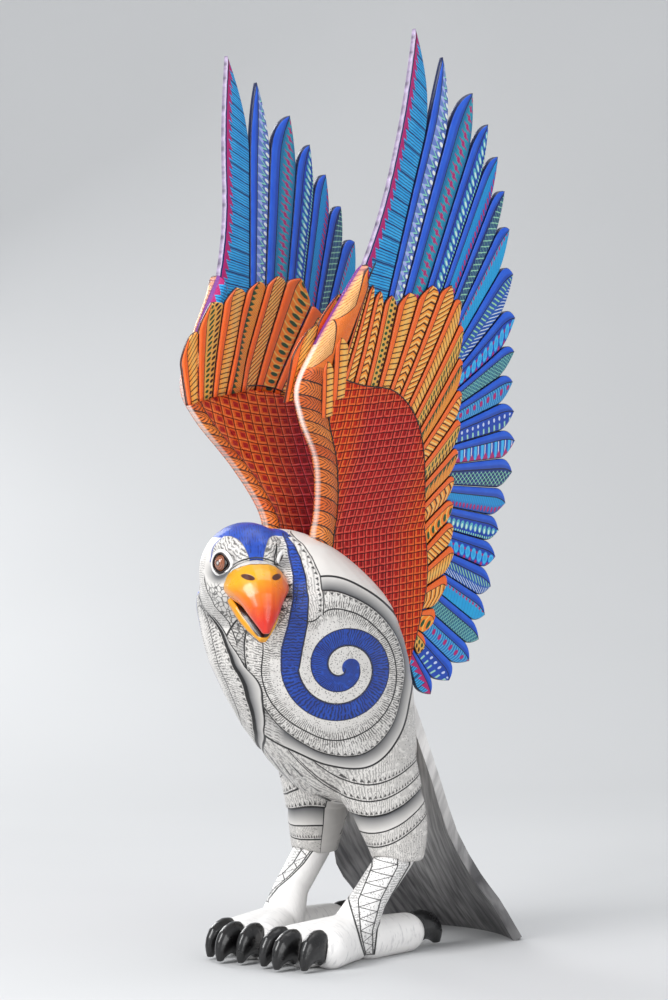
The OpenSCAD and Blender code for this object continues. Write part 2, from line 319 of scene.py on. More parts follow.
def ease_field(value, low, high):
    """From 0 to 1 as the value goes from low to high."""
    return value.paint.node("ShaderNodeMapRange", {"Value": value, "From Min": low, "From Max": high})


def make_piece(name, body, points, faces, materials, picks=None, fields=None, smooth=True):
    """A mesh object from points in millimetres in the design frame, riding on a body."""
    mesh = bpy.data.meshes.new(name)
    placed = np.asarray(points, float) + [0, FRONT_SHIFT, 0]
    mesh.from_pydata((placed * MM).tolist(), [], faces)
    for material in materials:
        mesh.materials.append(material)
    if picks is not None:
        mesh.polygons.foreach_set("material_index", picks)
    for key, values in (fields or {}).items():
        store(mesh, key, values)
    mesh.polygons.foreach_set("use_smooth", [smooth] * len(mesh.polygons))
    mesh.update()
    made = bpy.data.objects.new(name, mesh)
    bpy.context.scene.collection.objects.link(made)
    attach(made, body)
    return made


def store(mesh, key, values):
    """Keeps a number or a vector for each point of a mesh."""
    values = np.asarray(values, np.float32)
    if values.ndim == 1:
        mesh.attributes.new(key, "FLOAT", "POINT").data.foreach_set("value", values)
    else:
        mesh.attributes.new(key, "FLOAT_VECTOR", "POINT").data.foreach_set("vector", values.ravel())


def grid_faces(rows, columns, start=0, flip=False):
    """Quads of a grid of points stored row by row."""
    faces = []
    for r in range(rows - 1):
        for c in range(columns - 1):
            a = start + r * columns + c
            quad = (a, a + 1, a + columns + 1, a + columns)
            faces.append(quad[::-1] if flip else quad)
    return faces


def slab(top, bottom, fields_top, fields_bottom):
    """Closed solid between two grids of the same size, as points, faces and its faces' sides.

    A face's side is 0 on top, 1 below and 2 round the rim."""
    rows, columns = top.shape[:2]
    count = rows * columns
    points = np.concatenate([top.reshape(-1, 3), bottom.reshape(-1, 3)])
    fields = {k: np.concatenate([fields_top[k].reshape(count, -1), fields_bottom[k].reshape(count, -1)])
              for k in fields_top}
    faces = grid_faces(rows, columns) + grid_faces(rows, columns, count, True)
    sides = [0] * (len(faces) // 2) + [1] * (len(faces) // 2)
    ring = [r * columns for r in range(rows)]
    ring += [(rows - 1) * columns + c for c in range(1, columns)]
    ring += [r * columns + columns - 1 for r in range(rows - 2, -1, -1)]
    ring += [c for c in range(columns - 2, 0, -1)]
    for k, a in enumerate(ring):
        b = ring[(k + 1) % len(ring)]
        faces.append((a, b, b + count, a + count))
        sides.append(2)
    return points, faces, sides, fields


class Collected:
    """Several solids gathered into one piece."""

    def __init__(self):
        self.points, self.faces, self.picks, self.fields = [], [], [], {}
        self.count = 0

    def add(self, points, faces, picks, fields):
        self.points.append(points)
        self.faces += [tuple(k + self.count for k in f) for f in faces]
        self.picks += list(picks)
        for key, values in fields.items():
            self.fields.setdefault(key, []).append(values)
        self.count += len(points)

    def piece(self, name, body, materials):
        fields = {k: np.concatenate(v) for k, v in self.fields.items()}
        return make_piece(name, body, np.concatenate(self.points), self.faces, materials, self.picks, fields)


def bead(path, radius, sides=6):
    """A thin round line along a path of points."""
    path = np.asarray(path, float)
    ahead = np.gradient(path, axis=0)
    ahead /= np.linalg.norm(ahead, axis=1)[:, None]
    first = np.cross(ahead, [1, 0, 0])
    first /= np.linalg.norm(first, axis=1)[:, None]
    second = np.cross(ahead, first)
    turns = np.arange(sides) * 2 * math.pi / sides
    rings = (path[:, None] + radius * (first[:, None] * np.cos(turns)[None, :, None]
                                       + second[:, None] * np.sin(turns)[None, :, None]))
    faces = []
    for r in range(len(path) - 1):
        for k in range(sides):
            j = (k + 1) % sides
            faces.append((r * sides + k, r * sides + j, (r + 1) * sides + j, (r + 1) * sides + k))
    faces.append(tuple(range(sides))[::-1])
    faces.append(tuple((len(path) - 1) * sides + k for k in range(sides)))
    return rings.reshape(-1, 3), faces


# ---- feathers ------------------------------------------------------------------------------

STRAIGHT_ROWS = 16
TIP_ROWS = 9
INNER_COLUMNS = 9
ROOT_OVERLAP = 14


def flight_seat(u):
    return along(BOARD_EDGE, along(FLIGHT_SEATS, u))


def flight_tip(u):
    return along(FLIGHT_TIPS, u)


def covert_seat(u):
    return along(BOARD_EDGE, along(COVERT_SEATS, u))


def covert_tip(u):
    return along(COVERT_TIPS, u)


def inner_seat(u):
    return along(INNER_SEATS, u)


def inner_tip(u):
    return along(INNER_TIPS, u)


def flight_notch(i):
    return 18 + 52 * 0.75 ** i


def bend(a, c, b, steps):
    """Three-point curve from a to b, drawn towards c, without its first point."""
    t = np.arange(1, steps + 1)[:, None] / steps
    return a * (1 - t) ** 2 + c * 2 * t * (1 - t) + b * t ** 2


def feather_edges(seat, tip, u0, u1, middle, seat0, notch, overlap=ROOT_OVERLAP):
    """Leading and rear edge of a feather as two lists of (y, z), from its root to its tip."""
    point = tip(middle)
    edges = []
    for u, s, draw in ((u0, seat0, 0.6), (u1, u1, 0.5)):
        root, end = seat(s), tip(u)
        ahead = unit(end - root)
        start, shoulder = root - overlap * ahead, end - notch * ahead
        straight = start + (shoulder - start) * np.linspace(0, 1, STRAIGHT_ROWS)[:, None]
        curve = bend(shoulder, shoulder + draw * notch * ahead, point, TIP_ROWS)
        edges.append(np.concatenate([straight, curve]))
    return edges


def feather_solid(edges, side, low, high, rim, lap, groove):
    """One feather as a solid between two distances from the wing's middle surface.

    rim is the share of its height left at its edges, lap how much lower its rear edge is, and
    groove the share of its width where its plain strip ends. low is a distance on the other
    face, or on the same face when it is positive."""
    lead, rear = edges
    lead[-1] += (lead[-2] - lead[-1]) * 0.06
    rear[-1] += (rear[-2] - rear[-1]) * 0.06
    width = np.linalg.norm(rear - lead, axis=1)
    length = np.concatenate([[0], np.cumsum(np.linalg.norm(np.diff((lead + rear) / 2, axis=0), axis=1))])
    columns = [0] + [0.8, 1.8] + [None] * INNER_COLUMNS + [-1.8, -0.8] + [0]
    rows = len(lead)
    across = np.zeros((rows, len(columns)))
    for r in range(rows):
        w = max(width[r], 0.05)
        inset = min(1.0, w / 6)
        inner = np.linspace(1.8 * inset, w - 1.8 * inset, INNER_COLUMNS + 2)[1:-1]
        inner[2] = 0.25 * inner[2] + 0.75 * np.clip(groove * w - 0.5, inner[1], inner[3])
        front, back = [0, 0.8 * inset, 1.8 * inset], [w - 1.8 * inset, w - 0.8 * inset, w]
        across[r] = np.concatenate([front, inner, back])
    share = across / np.maximum(width, 0.05)[:, None]
    flat = lead[:, None] + (rear - lead)[:, None] * share[:, :, None]
    from_edge = np.minimum(across, np.maximum(width, 0.05)[:, None] - across)
    from_tip = (length[-1] - length)[:, None]
    swell = rim + (1 - rim) * np.sqrt(ease(0, 2.2, from_edge) * ease(-0.5, 3.0, from_tip + 0 * across))
    swell -= 0.12 * np.exp(-((across - groove * width[:, None]) / 0.9) ** 2) * ease(3, 8, width)[:, None]
    swell *= 1 - lap * share
    middle = np.array([[wing_x(z) for z in row] for row in flat[:, :, 1]])
    outer = middle + (high * swell if low < 0 else low + (high - low) * swell)
    inner = middle + (low * swell if low < 0 else low)
    flip = SIDES[side]
    top = np.stack([outer * flip, flat[:, :, 0], flat[:, :, 1]], axis=2)
    bottom = np.stack([inner * flip, flat[:, :, 0], flat[:, :, 1]], axis=2)
    quill = np.stack([across, np.repeat(length[:, None], len(columns), 1),
                      np.repeat(width[:, None], len(columns), 1)], axis=2)
    return slab(top, bottom, {"quill": quill}, {"quill": quill})


def between_feathers(i, count):
    """Where feather number i begins and ends along its fan."""
    return (i - 0.5 + FEATHER_GAP) / (count - 1), (i + 0.5 - FEATHER_GAP) / (count - 1)


def flight_edges(i):
    u0, u1 = between_feathers(i, FLIGHT_COUNT)
    first = 1 / (FLIGHT_COUNT - 1)
    u0 += FIRST_EXTRA * first if i == 1 else 0
    u1 += FIRST_EXTRA * first if i == 0 else 0
    edges = feather_edges(flight_seat, flight_tip, max(u0, 0), u1, i * first, max(u0, -0.3 * first),
                          flight_notch(i))
    if i == 0:
        height = edges[0][:, 1]
        low = np.clip((FLARE_TOP - height) / FLARE_TALL, 0, 1)
        edges[0][:, 0] -= FLARE * low ** 2 * ease(475, 535, height)
    return edges


def covert_edges(i):
    u0, u1 = between_feathers(i, COVERT_COUNT)
    first = 1 / (COVERT_COUNT - 1)
    return feather_edges(covert_seat, covert_tip, max(u0, 0), u1, i * first, max(u0, -0.3 * first), 11)


def inner_covert_edges(i):
    stations = np.array(INNER_STATIONS, float)
    ends = np.concatenate([[stations[0] - 0.45], (stations[1:] + stations[:-1]) / 2, [stations[-1] + 0.2]])
    ends /= len(INNER_SEATS) - 1
    return feather_edges(inner_seat, inner_tip, ends[i] + 0.0008, ends[i + 1] - 0.0008,
                         stations[i] / (len(INNER_SEATS) - 1), ends[i] + 0.0008, 11, overlap=5)


# ---- paint of the feathers -----------------------------------------------------------------

STRIP = 0.34      # share of a feather's width that its plain leading strip takes


class Vane:
    """Places on a feather's patterned part, in millimetres, with hand-drawn unevenness."""

    def __init__(self, paint, strip=STRIP, wander=0.5):
        self.paint = paint
        across, length, width = paint.vector("quill")
        where = paint.join(across, length)
        shake = paint.noise(where, 7, 1) - 0.5
        self.across = across + shake * wander
        self.y = length + (paint.noise(where, 5, 1) - 0.5) * wander * 1.6
        self.width = width
        self.strip_end = width * strip
        self.span = width - self.strip_end
        self.x = self.across - self.strip_end
        self.a = self.x / self.span
        self.cloud = paint.noise(where, 16, 3)
        self.grain = paint.noise(paint.join(across * 6, length), 3, 2)
        self.where = where

    def marks(self, pitch, length_share, at, radius):
        """A row of leaf-shaped marks along the vane, at a share of its width."""
        y = self.y.repeat(pitch) / (pitch * length_share / 2)
        x = (self.a - at) / radius
        return (x * x + y * y).below(1, 0.25)


def blue_rungs(v):
    """Bright vane crossed by fine dark rungs, with a saw edge of magenta."""
    p = v.paint
    base = p.mix(v.cloud.above(0.5, 0.3), CYAN, SKY)
    slant = v.y - v.x * 0.12
    fine = slant.repeat(2.3).line(0, 0.8, 0.25) * 0.8
    bold = slant.repeat(10.5).line(0, 1.2, 0.25)
    colour = p.mix(fine | bold, base, NAVY)
    saw = (v.x - 2.2 - (1 - (v.y / 8).fract()) * 5.5).below(0, 0.3)
    return p.mix(saw, colour, MAGENTA)


def blue_zigzag(v):
    """Lilac-blue vane with a mint zigzag and a row of white dots."""
    p = v.paint
    base = p.mix(v.cloud.above(0.5, 0.3), tint("#2f5cb4"), tint("#8397da"))
    wave = abs(v.y.repeat(8)) / 4 * 0.62 + 0.06
    colour = p.mix((v.a - wave).line(0, 0.16, 0.05), base, MINT)
    colour = p.mix((v.a - wave).line(0.17, 0.06, 0.03), colour, NAVY)
    rings = v.marks(8, 0.42, 0.26, 0.2)
    colour = p.mix(rings, colour, tint("#a9b4ec"))
    return p.mix(v.marks(8, 0.4, 0.8, 0.17), colour, tint("#eef6f2"))


def blue_crosses(v):
    """Teal vane with magenta crosses down its middle."""
    p = v.paint
    base = p.mix(v.a.line(0.5, 0.5, 0.15), tint("#1173a6"), tint("#18a3b8"))
    cross = v.y.repeat(7).line(0, 1.4, 0.2) * v.a.line(0.5, 0.6, 0.06)
    bar = v.a.line(0.5, 0.2, 0.06) * v.y.repeat(7).line(0, 4.6, 0.3)
    fine = v.y.repeat(3.5).line(1.75, 0.5, 0.2) * 0.6
    colour = p.mix(fine, base, NAVY)
    return p.mix(cross | bar, colour, MAGENTA)


def blue_leaves(v):
    """Deep blue vane with mint leaves and white touches."""
    p = v.paint
    base = p.mix(v.cloud.above(0.55, 0.3), DEEP, ROYAL)
    colour = p.mix(v.marks(6.5, 0.75, 0.42, 0.26), base, tint("#5fb7c8"))
    colour = p.mix(v.marks(6.5, 0.34, 0.5, 0.16), colour, tint("#d6f2e4"))
    return p.mix(v.marks(3.25, 0.5, 0.86, 0.08), colour, MINT)


def blue_beads(v):
    """Cyan vane with a row of magenta beads and a navy edge."""
    p = v.paint
    base = p.mix(v.a.above(0.6, 0.2), CYAN, tint("#1a57b8"))
    colour = p.mix(v.y.repeat(2.6).line(0, 0.5, 0.2) * 0.5, base, NAVY)
    return p.mix(v.marks(5.2, 0.55, 0.72, 0.16), colour, MAGENTA)


def blue_stitches(v):
    """Navy vane sewn with crossed mint stitches."""
    p = v.paint
    one = (v.y + v.x * 1.1).repeat(5.5).line(0, 1.0, 0.25)
    two = (v.y - v.x * 1.1).repeat(5.5).line(0, 1.0, 0.25)
    base = p.mix(v.cloud.above(0.5, 0.3), NAVY, DEEP)
    colour = p.mix((one | two) * v.a.within(0.14, 0.9, 0.06), base, tint("#7cc9a4"))
    return p.mix(one * two * v.a.within(0.14, 0.9, 0.06), colour, tint("#e4f7ee"))


def blue_plain(v):
    """Plain cyan vane with a magenta line beside its strip."""
    p = v.paint
    base = p.mix(v.cloud.above(0.5, 0.35), CYAN, tint("#23aee0"))
    colour = p.mix(v.y.repeat(4.2).line(0, 0.4, 0.2) * 0.5, base, DEEP)
    dashes = v.y.repeat(5).line(0, 2.6, 0.3) * v.a.line(0.13, 0.16, 0.05)
    return p.mix(dashes, colour, MAGENTA)


def blue_dashes(v):
    """Two rows of pale slanting dashes on navy."""
    p = v.paint
    base = p.mix(v.cloud.above(0.5, 0.3), tint("#17419c"), tint("#2c68c0"))
    upper = (v.y - v.x * 0.9).repeat(4.4).line(0, 1.3, 0.25) * v.a.within(0.08, 0.46, 0.04)
    lower = (v.y - v.x * 1.6).repeat(4.4).line(0, 1.2, 0.25) * v.a.within(0.56, 0.94, 0.04)
    colour = p.mix(upper, base, tint("#9fdba6"))
    return p.mix(lower, colour, tint("#dbe9f4"))


def blue_scales(v):
    """Cyan scales with magenta tips on either edge."""
    p = v.paint
    scale = v.marks(8.4, 0.8, 0.5, 0.36)
    base = p.mix(v.cloud.above(0.5, 0.3), ROYAL, DEEP)
    colour = p.mix(scale, base, SKY)
    colour = p.mix(v.marks(8.4, 0.5, 0.5, 0.18) * 0.6, colour, CYAN)
    tips = (v.y + 4.2).repeat(8.4).line(0, 2.6, 0.3) * v.a.above(0.28, 0.04)
    edge = tips * (v.a.below(0.4, 0.04) + v.a.above(0.78, 0.04) & 1)
    return p.mix(edge, colour, MAGENTA)


def blue_net(v):
    """Dark teal vane under a fine mint net."""
    p = v.paint
    one = (v.y + v.x * 0.8).repeat(3.6).line(0, 0.8, 0.2)
    two = (v.y - v.x * 1.3).repeat(3.9).line(0, 0.8, 0.2)
    base = p.mix(v.cloud.above(0.5, 0.3), tint("#0d3d63"), tint("#1c6f96"))
    return p.mix((one | two) * 0.85, base, tint("#86cfc0"))


def blue_arches(v):
    """Arches of blues, each with a magenta heart."""
    p = v.paint
    wave = v.y + (v.a - 0.5) * (v.a - 0.5) * 9
    stripes = wave.repeat(3.0).line(0, 1.2, 0.25)
    colour = p.mix(stripes, tint("#1a6fc0"), tint("#52b3dc"))
    return p.mix(v.marks(9, 0.42, 0.4, 0.2), colour, MAGENTA)


def blue_drops(v):
    """White dots over a row of mint dashes on deep blue."""
    p = v.paint
    base = p.mix(v.cloud.above(0.5, 0.3), tint("#123c9e"), tint("#1b4fc0"))
    colour = p.mix(v.marks(7, 0.36, 0.28, 0.13), base, tint("#c9d6f6"))
    dash = v.y.repeat(7).line(0, 1.9, 0.3) * v.a.within(0.58, 0.92, 0.04)
    return p.mix(dash, colour, tint("#a5dcc4"))


def blue_banners(v):
    """Cyan stripes parted by white lines, with magenta teeth on the rear edge."""
    p = v.paint
    stripe = v.y.repeat(9).line(-2, 3.4, 0.3)
    colour = p.mix(stripe, tint("#1b50b4"), SKY)
    colour = p.mix(v.y.repeat(9).line(1.6, 1.0, 0.25), colour, tint("#e6eef6"))
    tooth = (v.a + abs(((v.y + 2) / 9).fract() - 0.5)).above(1.02, 0.05)
    return p.mix(tooth, colour, MAGENTA)


BLUE_PATTERNS = [blue_rungs, blue_zigzag, blue_crosses, blue_leaves, blue_beads, blue_stitches, blue_plain,
                 blue_dashes, blue_scales, blue_net, blue_arches, blue_drops, blue_banners]
# The pattern of each flight feather, from the leading edge down to the back
FLIGHT_PATTERNS = [0, 1, 2, 3, 4, 5, 6, 7, 8, 9, 10, 11, 12, 5, 4, 3, 8, 7, 6, 9, 10, 11, 0]


def blue_paint(pattern, first=False):
    """Lacquered blue feather: a plain strip in front and a patterned vane behind it."""
    p = Paint("blue_" + pattern.__name__[5:] + ("_first" if first else ""), roughness=0.38, coat=0.15,
              specular=0.4)
    v = Vane(p, 0.06 if first else STRIP)
    strip = p.mix(v.cloud.above(0.45, 0.3), ROYAL, tint("#2b68de"))
    strip = p.mix(v.across.above(v.strip_end * 0.62, 0.8) * 0.5, strip, DEEP)
    colour = p.mix(v.x.above(0, 0.2), strip, pattern(v))
    lines = v.x.line(0, 0.9, 0.2)
    if first:
        colour = p.mix(v.across.below(0.75, 0.1), colour, p.mix(v.grain, tint("#a08fb8"), tint("#d9c6df")))
        lines = v.across.line(1.3, 1.2, 0.2)
    rear = (v.width - v.across).below(0.7, 0.2)
    front = v.across.below(0.0 if first else 0.45, 0.15)
    lines = lines | rear | front
    colour = p.mix(lines * 0.92, colour, tint("#060a24"))
    height = v.grain * 0.25 + (1 - lines) * 0.75
    return p.finish(colour, height, 0.25, v.cloud * 0.14 + 0.27)


def golden_vane(v):
    return v.paint.mix(v.cloud.above(0.5, 0.35), ORANGE, GOLD)


def gold_rungs(v):
    """Dark rungs with paired light steps between them."""
    p = v.paint
    colour = p.mix(v.a.line(0.5, 0.5, 0.2), golden_vane(v), tint("#f6bd62"))
    return p.mix(v.y.repeat(4.6).line(0, 1.0, 0.25), colour, UMBER)


def gold_teeth(v):
    """Dark green teeth along the strip and a fine hatch behind them."""
    p = v.paint
    hatch = (v.y - v.x * 0.35).repeat(1.9).line(0, 0.45, 0.2) * 0.7
    colour = p.mix(hatch, golden_vane(v), UMBER)
    tooth = (v.a - (1 - (v.y / 5.4).fract()) * 0.4).below(0, 0.05)
    return p.mix(tooth, colour, PINE)


def gold_slants(v):
    """Broad slanting strokes."""
    p = v.paint
    colour = p.mix((v.y - v.x * 0.9).repeat(5.2).line(0.9, 1.3, 0.3), golden_vane(v), tint("#f8cf7c"))
    return p.mix((v.y - v.x * 0.9).repeat(5.2).line(-1, 1.2, 0.3), colour, UMBER)


def gold_moons(v):
    """Arches with a dark green moon under each."""
    p = v.paint
    drop = v.y - (v.a - 0.5) * (v.a - 0.5) * 14
    colour = p.mix(drop.repeat(8).line(2.2, 1.6, 0.4), ORANGE, tint("#f9c55f"))
    moon = v.marks(8, 0.52, 0.52, 0.26)
    return p.mix(moon, colour, PINE)


def gold_chevrons(v):
    """A zigzag of dark brown over gold."""
    p = v.paint
    wave = v.y + abs(v.a - 0.5) * 7
    colour = p.mix(wave.repeat(6).line(1.4, 1.4, 0.3), golden_vane(v), tint("#f8c878"))
    return p.mix(wave.repeat(6).line(-0.8, 1.5, 0.3), colour, UMBER)


def gold_spots(v):
    """Two rows of dark spots, offset from each other."""
    p = v.paint
    base = p.mix(v.cloud.above(0.5, 0.35), tint("#d99a3e"), tint("#eeb85a"))
    colour = p.mix(v.marks(4.6, 0.6, 0.3, 0.17), base, PINE)
    y = (v.y + 2.3).repeat(4.6) / 1.4
    x = (v.a - 0.72) / 0.16
    return p.mix((x * x + y * y).below(1, 0.25), colour, UMBER)


GOLD_PATTERNS = [gold_rungs, gold_teeth, gold_slants, gold_moons, gold_chevrons, gold_spots]
OUTER_GOLD = [0, 2, 4, 5, 0, 4, 2, 0, 5, 1, 2, 5, 1, 4, 3, 2, 0, 4, 3, 5]
INNER_GOLD = [0, 5, 0, 1, 2, 3, 2, 5, 1, 4, 3, 2, 0, 4, 3, 5, 2]


def gold_paint(pattern):
    """Orange covert: a plain strip in front and a golden, dark-marked vane behind it."""
    p = Paint("gold_" + pattern.__name__[5:], roughness=0.4, coat=0.12, specular=0.4)
    v = Vane(p, 0.3, 0.45)
    strip = p.mix(v.cloud.above(0.45, 0.3), VERMILION, tint("#f4702a"))
    colour = p.mix(v.x.above(0, 0.2), strip, pattern(v))
    lines = v.x.line(0, 0.8, 0.2)
    rear = (v.width - v.across).below(0.75, 0.2)
    front = v.across.below(0.6, 0.2)
    lines = lines | rear | front
    colour = p.mix(lines * 0.95, colour, tint("#2a0c06"))
    height = v.grain * 0.25 + (1 - lines) * 0.75
    return p.finish(colour, height, 0.25, v.cloud * 0.14 + 0.3)


# ---- paint of the wing board and arm --------------------------------------------------------

CHECK_ACROSS = 9.2
CHECK_UP = 6.2
WIDE_ACROSS = 11.4
WIDE_UP = 8.4


def checked(p, y, z):
    """Crimson weave: pale threads both ways, each with a dark one beside it."""
    shake = p.noise(p.join(y, z), 10, 1) - 0.5
    a = (y - z * 0.04 + shake * 1.5).repeat(CHECK_ACROSS)
    b = (z - y * 0.09 + shake * 1.3).repeat(CHECK_UP)
    cloud = p.noise(p.join(y, z), 34, 2)
    warm = ease_field(y, 12, 48) | ease_field(y, -46, -66)
    warm = warm | ease_field(z, 440, 468) * 0.7
    base = p.mix(cloud.above(0.5, 0.25), tint("#b00c0e"), tint("#86060e"))
    base = p.mix(warm * 0.8, base, tint("#c62c08"))
    thread = p.mix(warm, tint("#ea5648"), tint("#f8702f"))
    half = a.line(0.4, 1.5, 0.3)
    colour = p.mix(half * 0.55, base, thread)
    colour = p.mix(a.line(-1.1, 0.9, 0.25) * 0.7, colour, tint("#35040a"))
    side = a.line(3.7, 1.7, 0.3)
    rise = b.line(2.3, 1.3, 0.25)
    broken = p.noise(p.join(y, z), 4, 1).above(0.38, 0.1)
    colour = p.mix((side | rise * 0.85) * (0.35 + broken * 0.6), colour, thread)
    dark = a.line(2.1, 1.0, 0.2) | b.line(1.1, 0.8, 0.2)
    return p.mix(dark * 0.85, colour, tint("#2b0306")), (1 - dark) * 0.6 + side * 0.4


def wide_checked(p, y, z):
    """Larger cells: orange with a crimson heart in front, crimson and dark towards the back."""
    shake = p.noise(p.join(y, z), 12, 1) - 0.5
    a = (y + (z - 330) * 0.06 + shake).repeat(WIDE_ACROSS)
    b = (z + shake * 1.2 - (y + 30) * (y + 30) * 0.0016).repeat(WIDE_UP)
    edge = abs(a) / WIDE_ACROSS | abs(b) / WIDE_UP
    heart = (a - 1.4).line(0, 5.6, 0.5) * (b - 0.4).line(0, 4.2, 0.4)
    back = ease_field(y - (z - 400) * 0.25, -62, -18)
    cloud = p.noise(p.join(y, z), 7, 2)
    ground = p.mix(back, tint("#ee6a26"), tint("#a81a22"))
    ground = p.mix(cloud.above(0.55, 0.2) * 0.5, ground, tint("#c9302a"))
    colour = p.mix(heart * 0.9, ground, p.mix(back, tint("#a5121e"), tint("#7a0f18")))
    glint = (a.line(-4.2, 1.2, 0.3) | b.line(-2.9, 0.9, 0.25)) * 0.6
    colour = p.mix(glint, colour, p.mix(back, tint("#ff9a4c"), tint("#e0606a")))
    line = edge.above(0.455, 0.02)
    return p.mix(line * 0.92, colour, tint("#240405")), 1 - line


def board_paint(side):
    """Red weave on the board, finer outside than inside, and bare wood on the tenon."""
    p = Paint(side + "_board_weave", roughness=0.55, coat=0.0, specular=0.22)
    x, y, z = p.place()
    fine, fine_rise = checked(p, y, z)
    wide, _ = wide_checked(p, y, z)
    normal = p.split(Field(p, p.nodes.new("ShaderNodeNewGeometry").outputs["True Normal"]))
    outward = (normal[0] * SIDES[side]).above(0, 0.05)
    colour = p.mix(outward, wide, fine)
    lift = y * LIFT_AXIS[1] + z * LIFT_AXIS[2]
    tenon = lift.below(221, 0.5) * y.below(14, 0.5)
    colour = p.mix(tenon, colour, wood_colour(p, x, y, z))
    return p.finish(colour, fine_rise, 0.4)


def wood_colour(p, x, y, z):
    """Pale copal wood with its growth lines."""
    drift = p.noise(p.join(x, y, z * 0.15), 14, 3)
    rings = abs((x * 0.7 + y * 0.4 + drift * 16).repeat(3.4)) / 1.7
    return p.mix(rings, tint("#cfa978"), tint("#e3c79c"))


def arm_stroke(p):
    """Orange roll of the arm: hatched segments below the wrist, leaf shapes and plain orange above."""
    across, length, width = p.vector("quill")
    where = p.join(across, length)
    shake = (p.noise(where, 8, 1) - 0.5) * 0.8
    cloud = p.noise(where, 14, 3)
    segment = 12
    tilt = length + across * 0.3 + shake
    bar = tilt.repeat(segment)
    tone = p.noise(p.join(tilt.step(segment) * 9, 0), 6, 1)
    base = p.mix(tone.above(0.5, 0.1), tint("#e0601a"), tint("#f6913a"))
    base = p.mix(cloud.above(0.55, 0.25) * 0.45, base, tint("#a8431a"))
    rough = p.noise(p.join(across * 0.5, length * 3), 2, 1).above(0.4, 0.1)
    arc = (across * across + (bar + 6) * (bar + 6)).root()
    ring = arc.repeat(2.3).line(0, 0.8, 0.25)
    slant = (length * 0.9 - across * 0.8 + shake).repeat(2.6).line(0, 0.9, 0.25)
    shell = (ring * bar.above(0, 0.5) | slant * bar.below(0, 0.5)) * rough
    divider = bar.line(segment / 2 - 0.6, 1.4, 0.25)
    dark = shell | divider
    low = p.mix(dark, base, tint("#2c1208"))
    _, y, z = p.place()
    # three long hatched leaves along the front edge, one over the other
    leaf = 44
    rise = (length + 12).repeat(leaf) / leaf + 0.5
    reach = width * 0.5 * (rise / 0.3 & (1 - rise) / 0.7).do("POWER", 0.7) + 0.8
    hatch = (across * 1.1 - length * 0.55 + shake).repeat(2.5).line(0, 0.7, 0.25) * rough
    gilt = p.mix(hatch * 0.8, p.mix(cloud, tint("#ee9c50"), tint("#f9c583")), tint("#7a3512"))
    high = p.mix(cloud.above(0.5, 0.35), tint("#e9661a"), tint("#f68632"))
    high = p.mix((across - reach).below(0, 0.3), high, gilt)
    vein = (across - reach).line(0, 1.1, 0.25)
    high = p.mix(vein, high, tint("#331005"))
    colour = p.mix(z.above(478, 2), low, high)
    # Pale cream line along the front edge below the wrist, purple above it: partly paint and partly a
    # painted highlight, brightest round the wrist
    rim = across.below(0.45, 0.4) * (0.45 + z.within(430, 500, 14) * 0.4)
    colour = p.mix(rim, colour, p.mix(z.above(500, 6), tint("#f6e2da"), tint("#8a4088")))
    line = (width - across).below(0.9, 0.2)
    return p.mix(line, colour, tint("#2a0c06")), cloud * 0.4 + (1 - dark) * 0.6, across, y, z


def arm_paint():
    p = Paint("arm_outer", roughness=0.4, coat=0.2, specular=0.4)
    colour, rise, *_ = arm_stroke(p)
    return p.finish(colour, rise, 0.3, rise * 0.1 + 0.32)


def arm_inner_paint():
    """Inner face of the arm: a narrow roll, then the red weave, and the first blue feather on top."""
    p = Paint("arm_inner", roughness=0.42, coat=0.1, specular=0.35)
    colour, rise, across, y, z = arm_stroke(p)
    weave, _ = wide_checked(p, y, z)
    colour = p.mix(across.above(9.5, 0.2), colour, weave)
    colour = p.mix(across.line(9.5, 1.1, 0.2), colour, INK)
    cloud = p.noise(p.join(y, z), 14, 3)
    blue = p.mix(cloud.above(0.5, 0.3), CYAN, SKY)
    blue = p.mix((z + across * 0.2).repeat(2.3).line(0, 0.8, 0.25) * 0.8, blue, NAVY)
    tooth = (across - 1.6 - (1 - ((z + 4) / 9).fract()) * 4.5).below(0, 0.3)
    blue = p.mix(tooth, blue, MAGENTA)
    blue = p.mix(across.below(1.2, 0.4), blue, tint("#7d3f8e"))
    colour = p.mix(z.above(497, 0.4), colour, blue)
    return p.finish(colour, rise, 0.3)


def ink_paint():
    """Black contour line, slightly raised and uneven."""
    p = Paint("contour_ink", roughness=0.45, coat=0.2)
    x, y, z = p.place()
    cloud = p.noise(p.join(x, y, z), 4, 2)
    return p.finish(p.mix(cloud, INK, tint("#2b1411")), cloud, 0.1)


def plain_wood():
    p = Paint("bare_wood", roughness=0.62)
    x, y, z = p.place()
    return p.finish(wood_colour(p, x, y, z), p.noise(p.join(x * 3, y * 3, z * 0.4), 3, 2), 0.15)


# ---- the wings -----------------------------------------------------------------------------

ARM_ROWS = 90
ARM_COLUMNS = 17
ARM_ROUND = math.pi / 1.35      # how far round its roll the arm's columns go
CONTOUR = 0.6                   # radius of the black contour lines


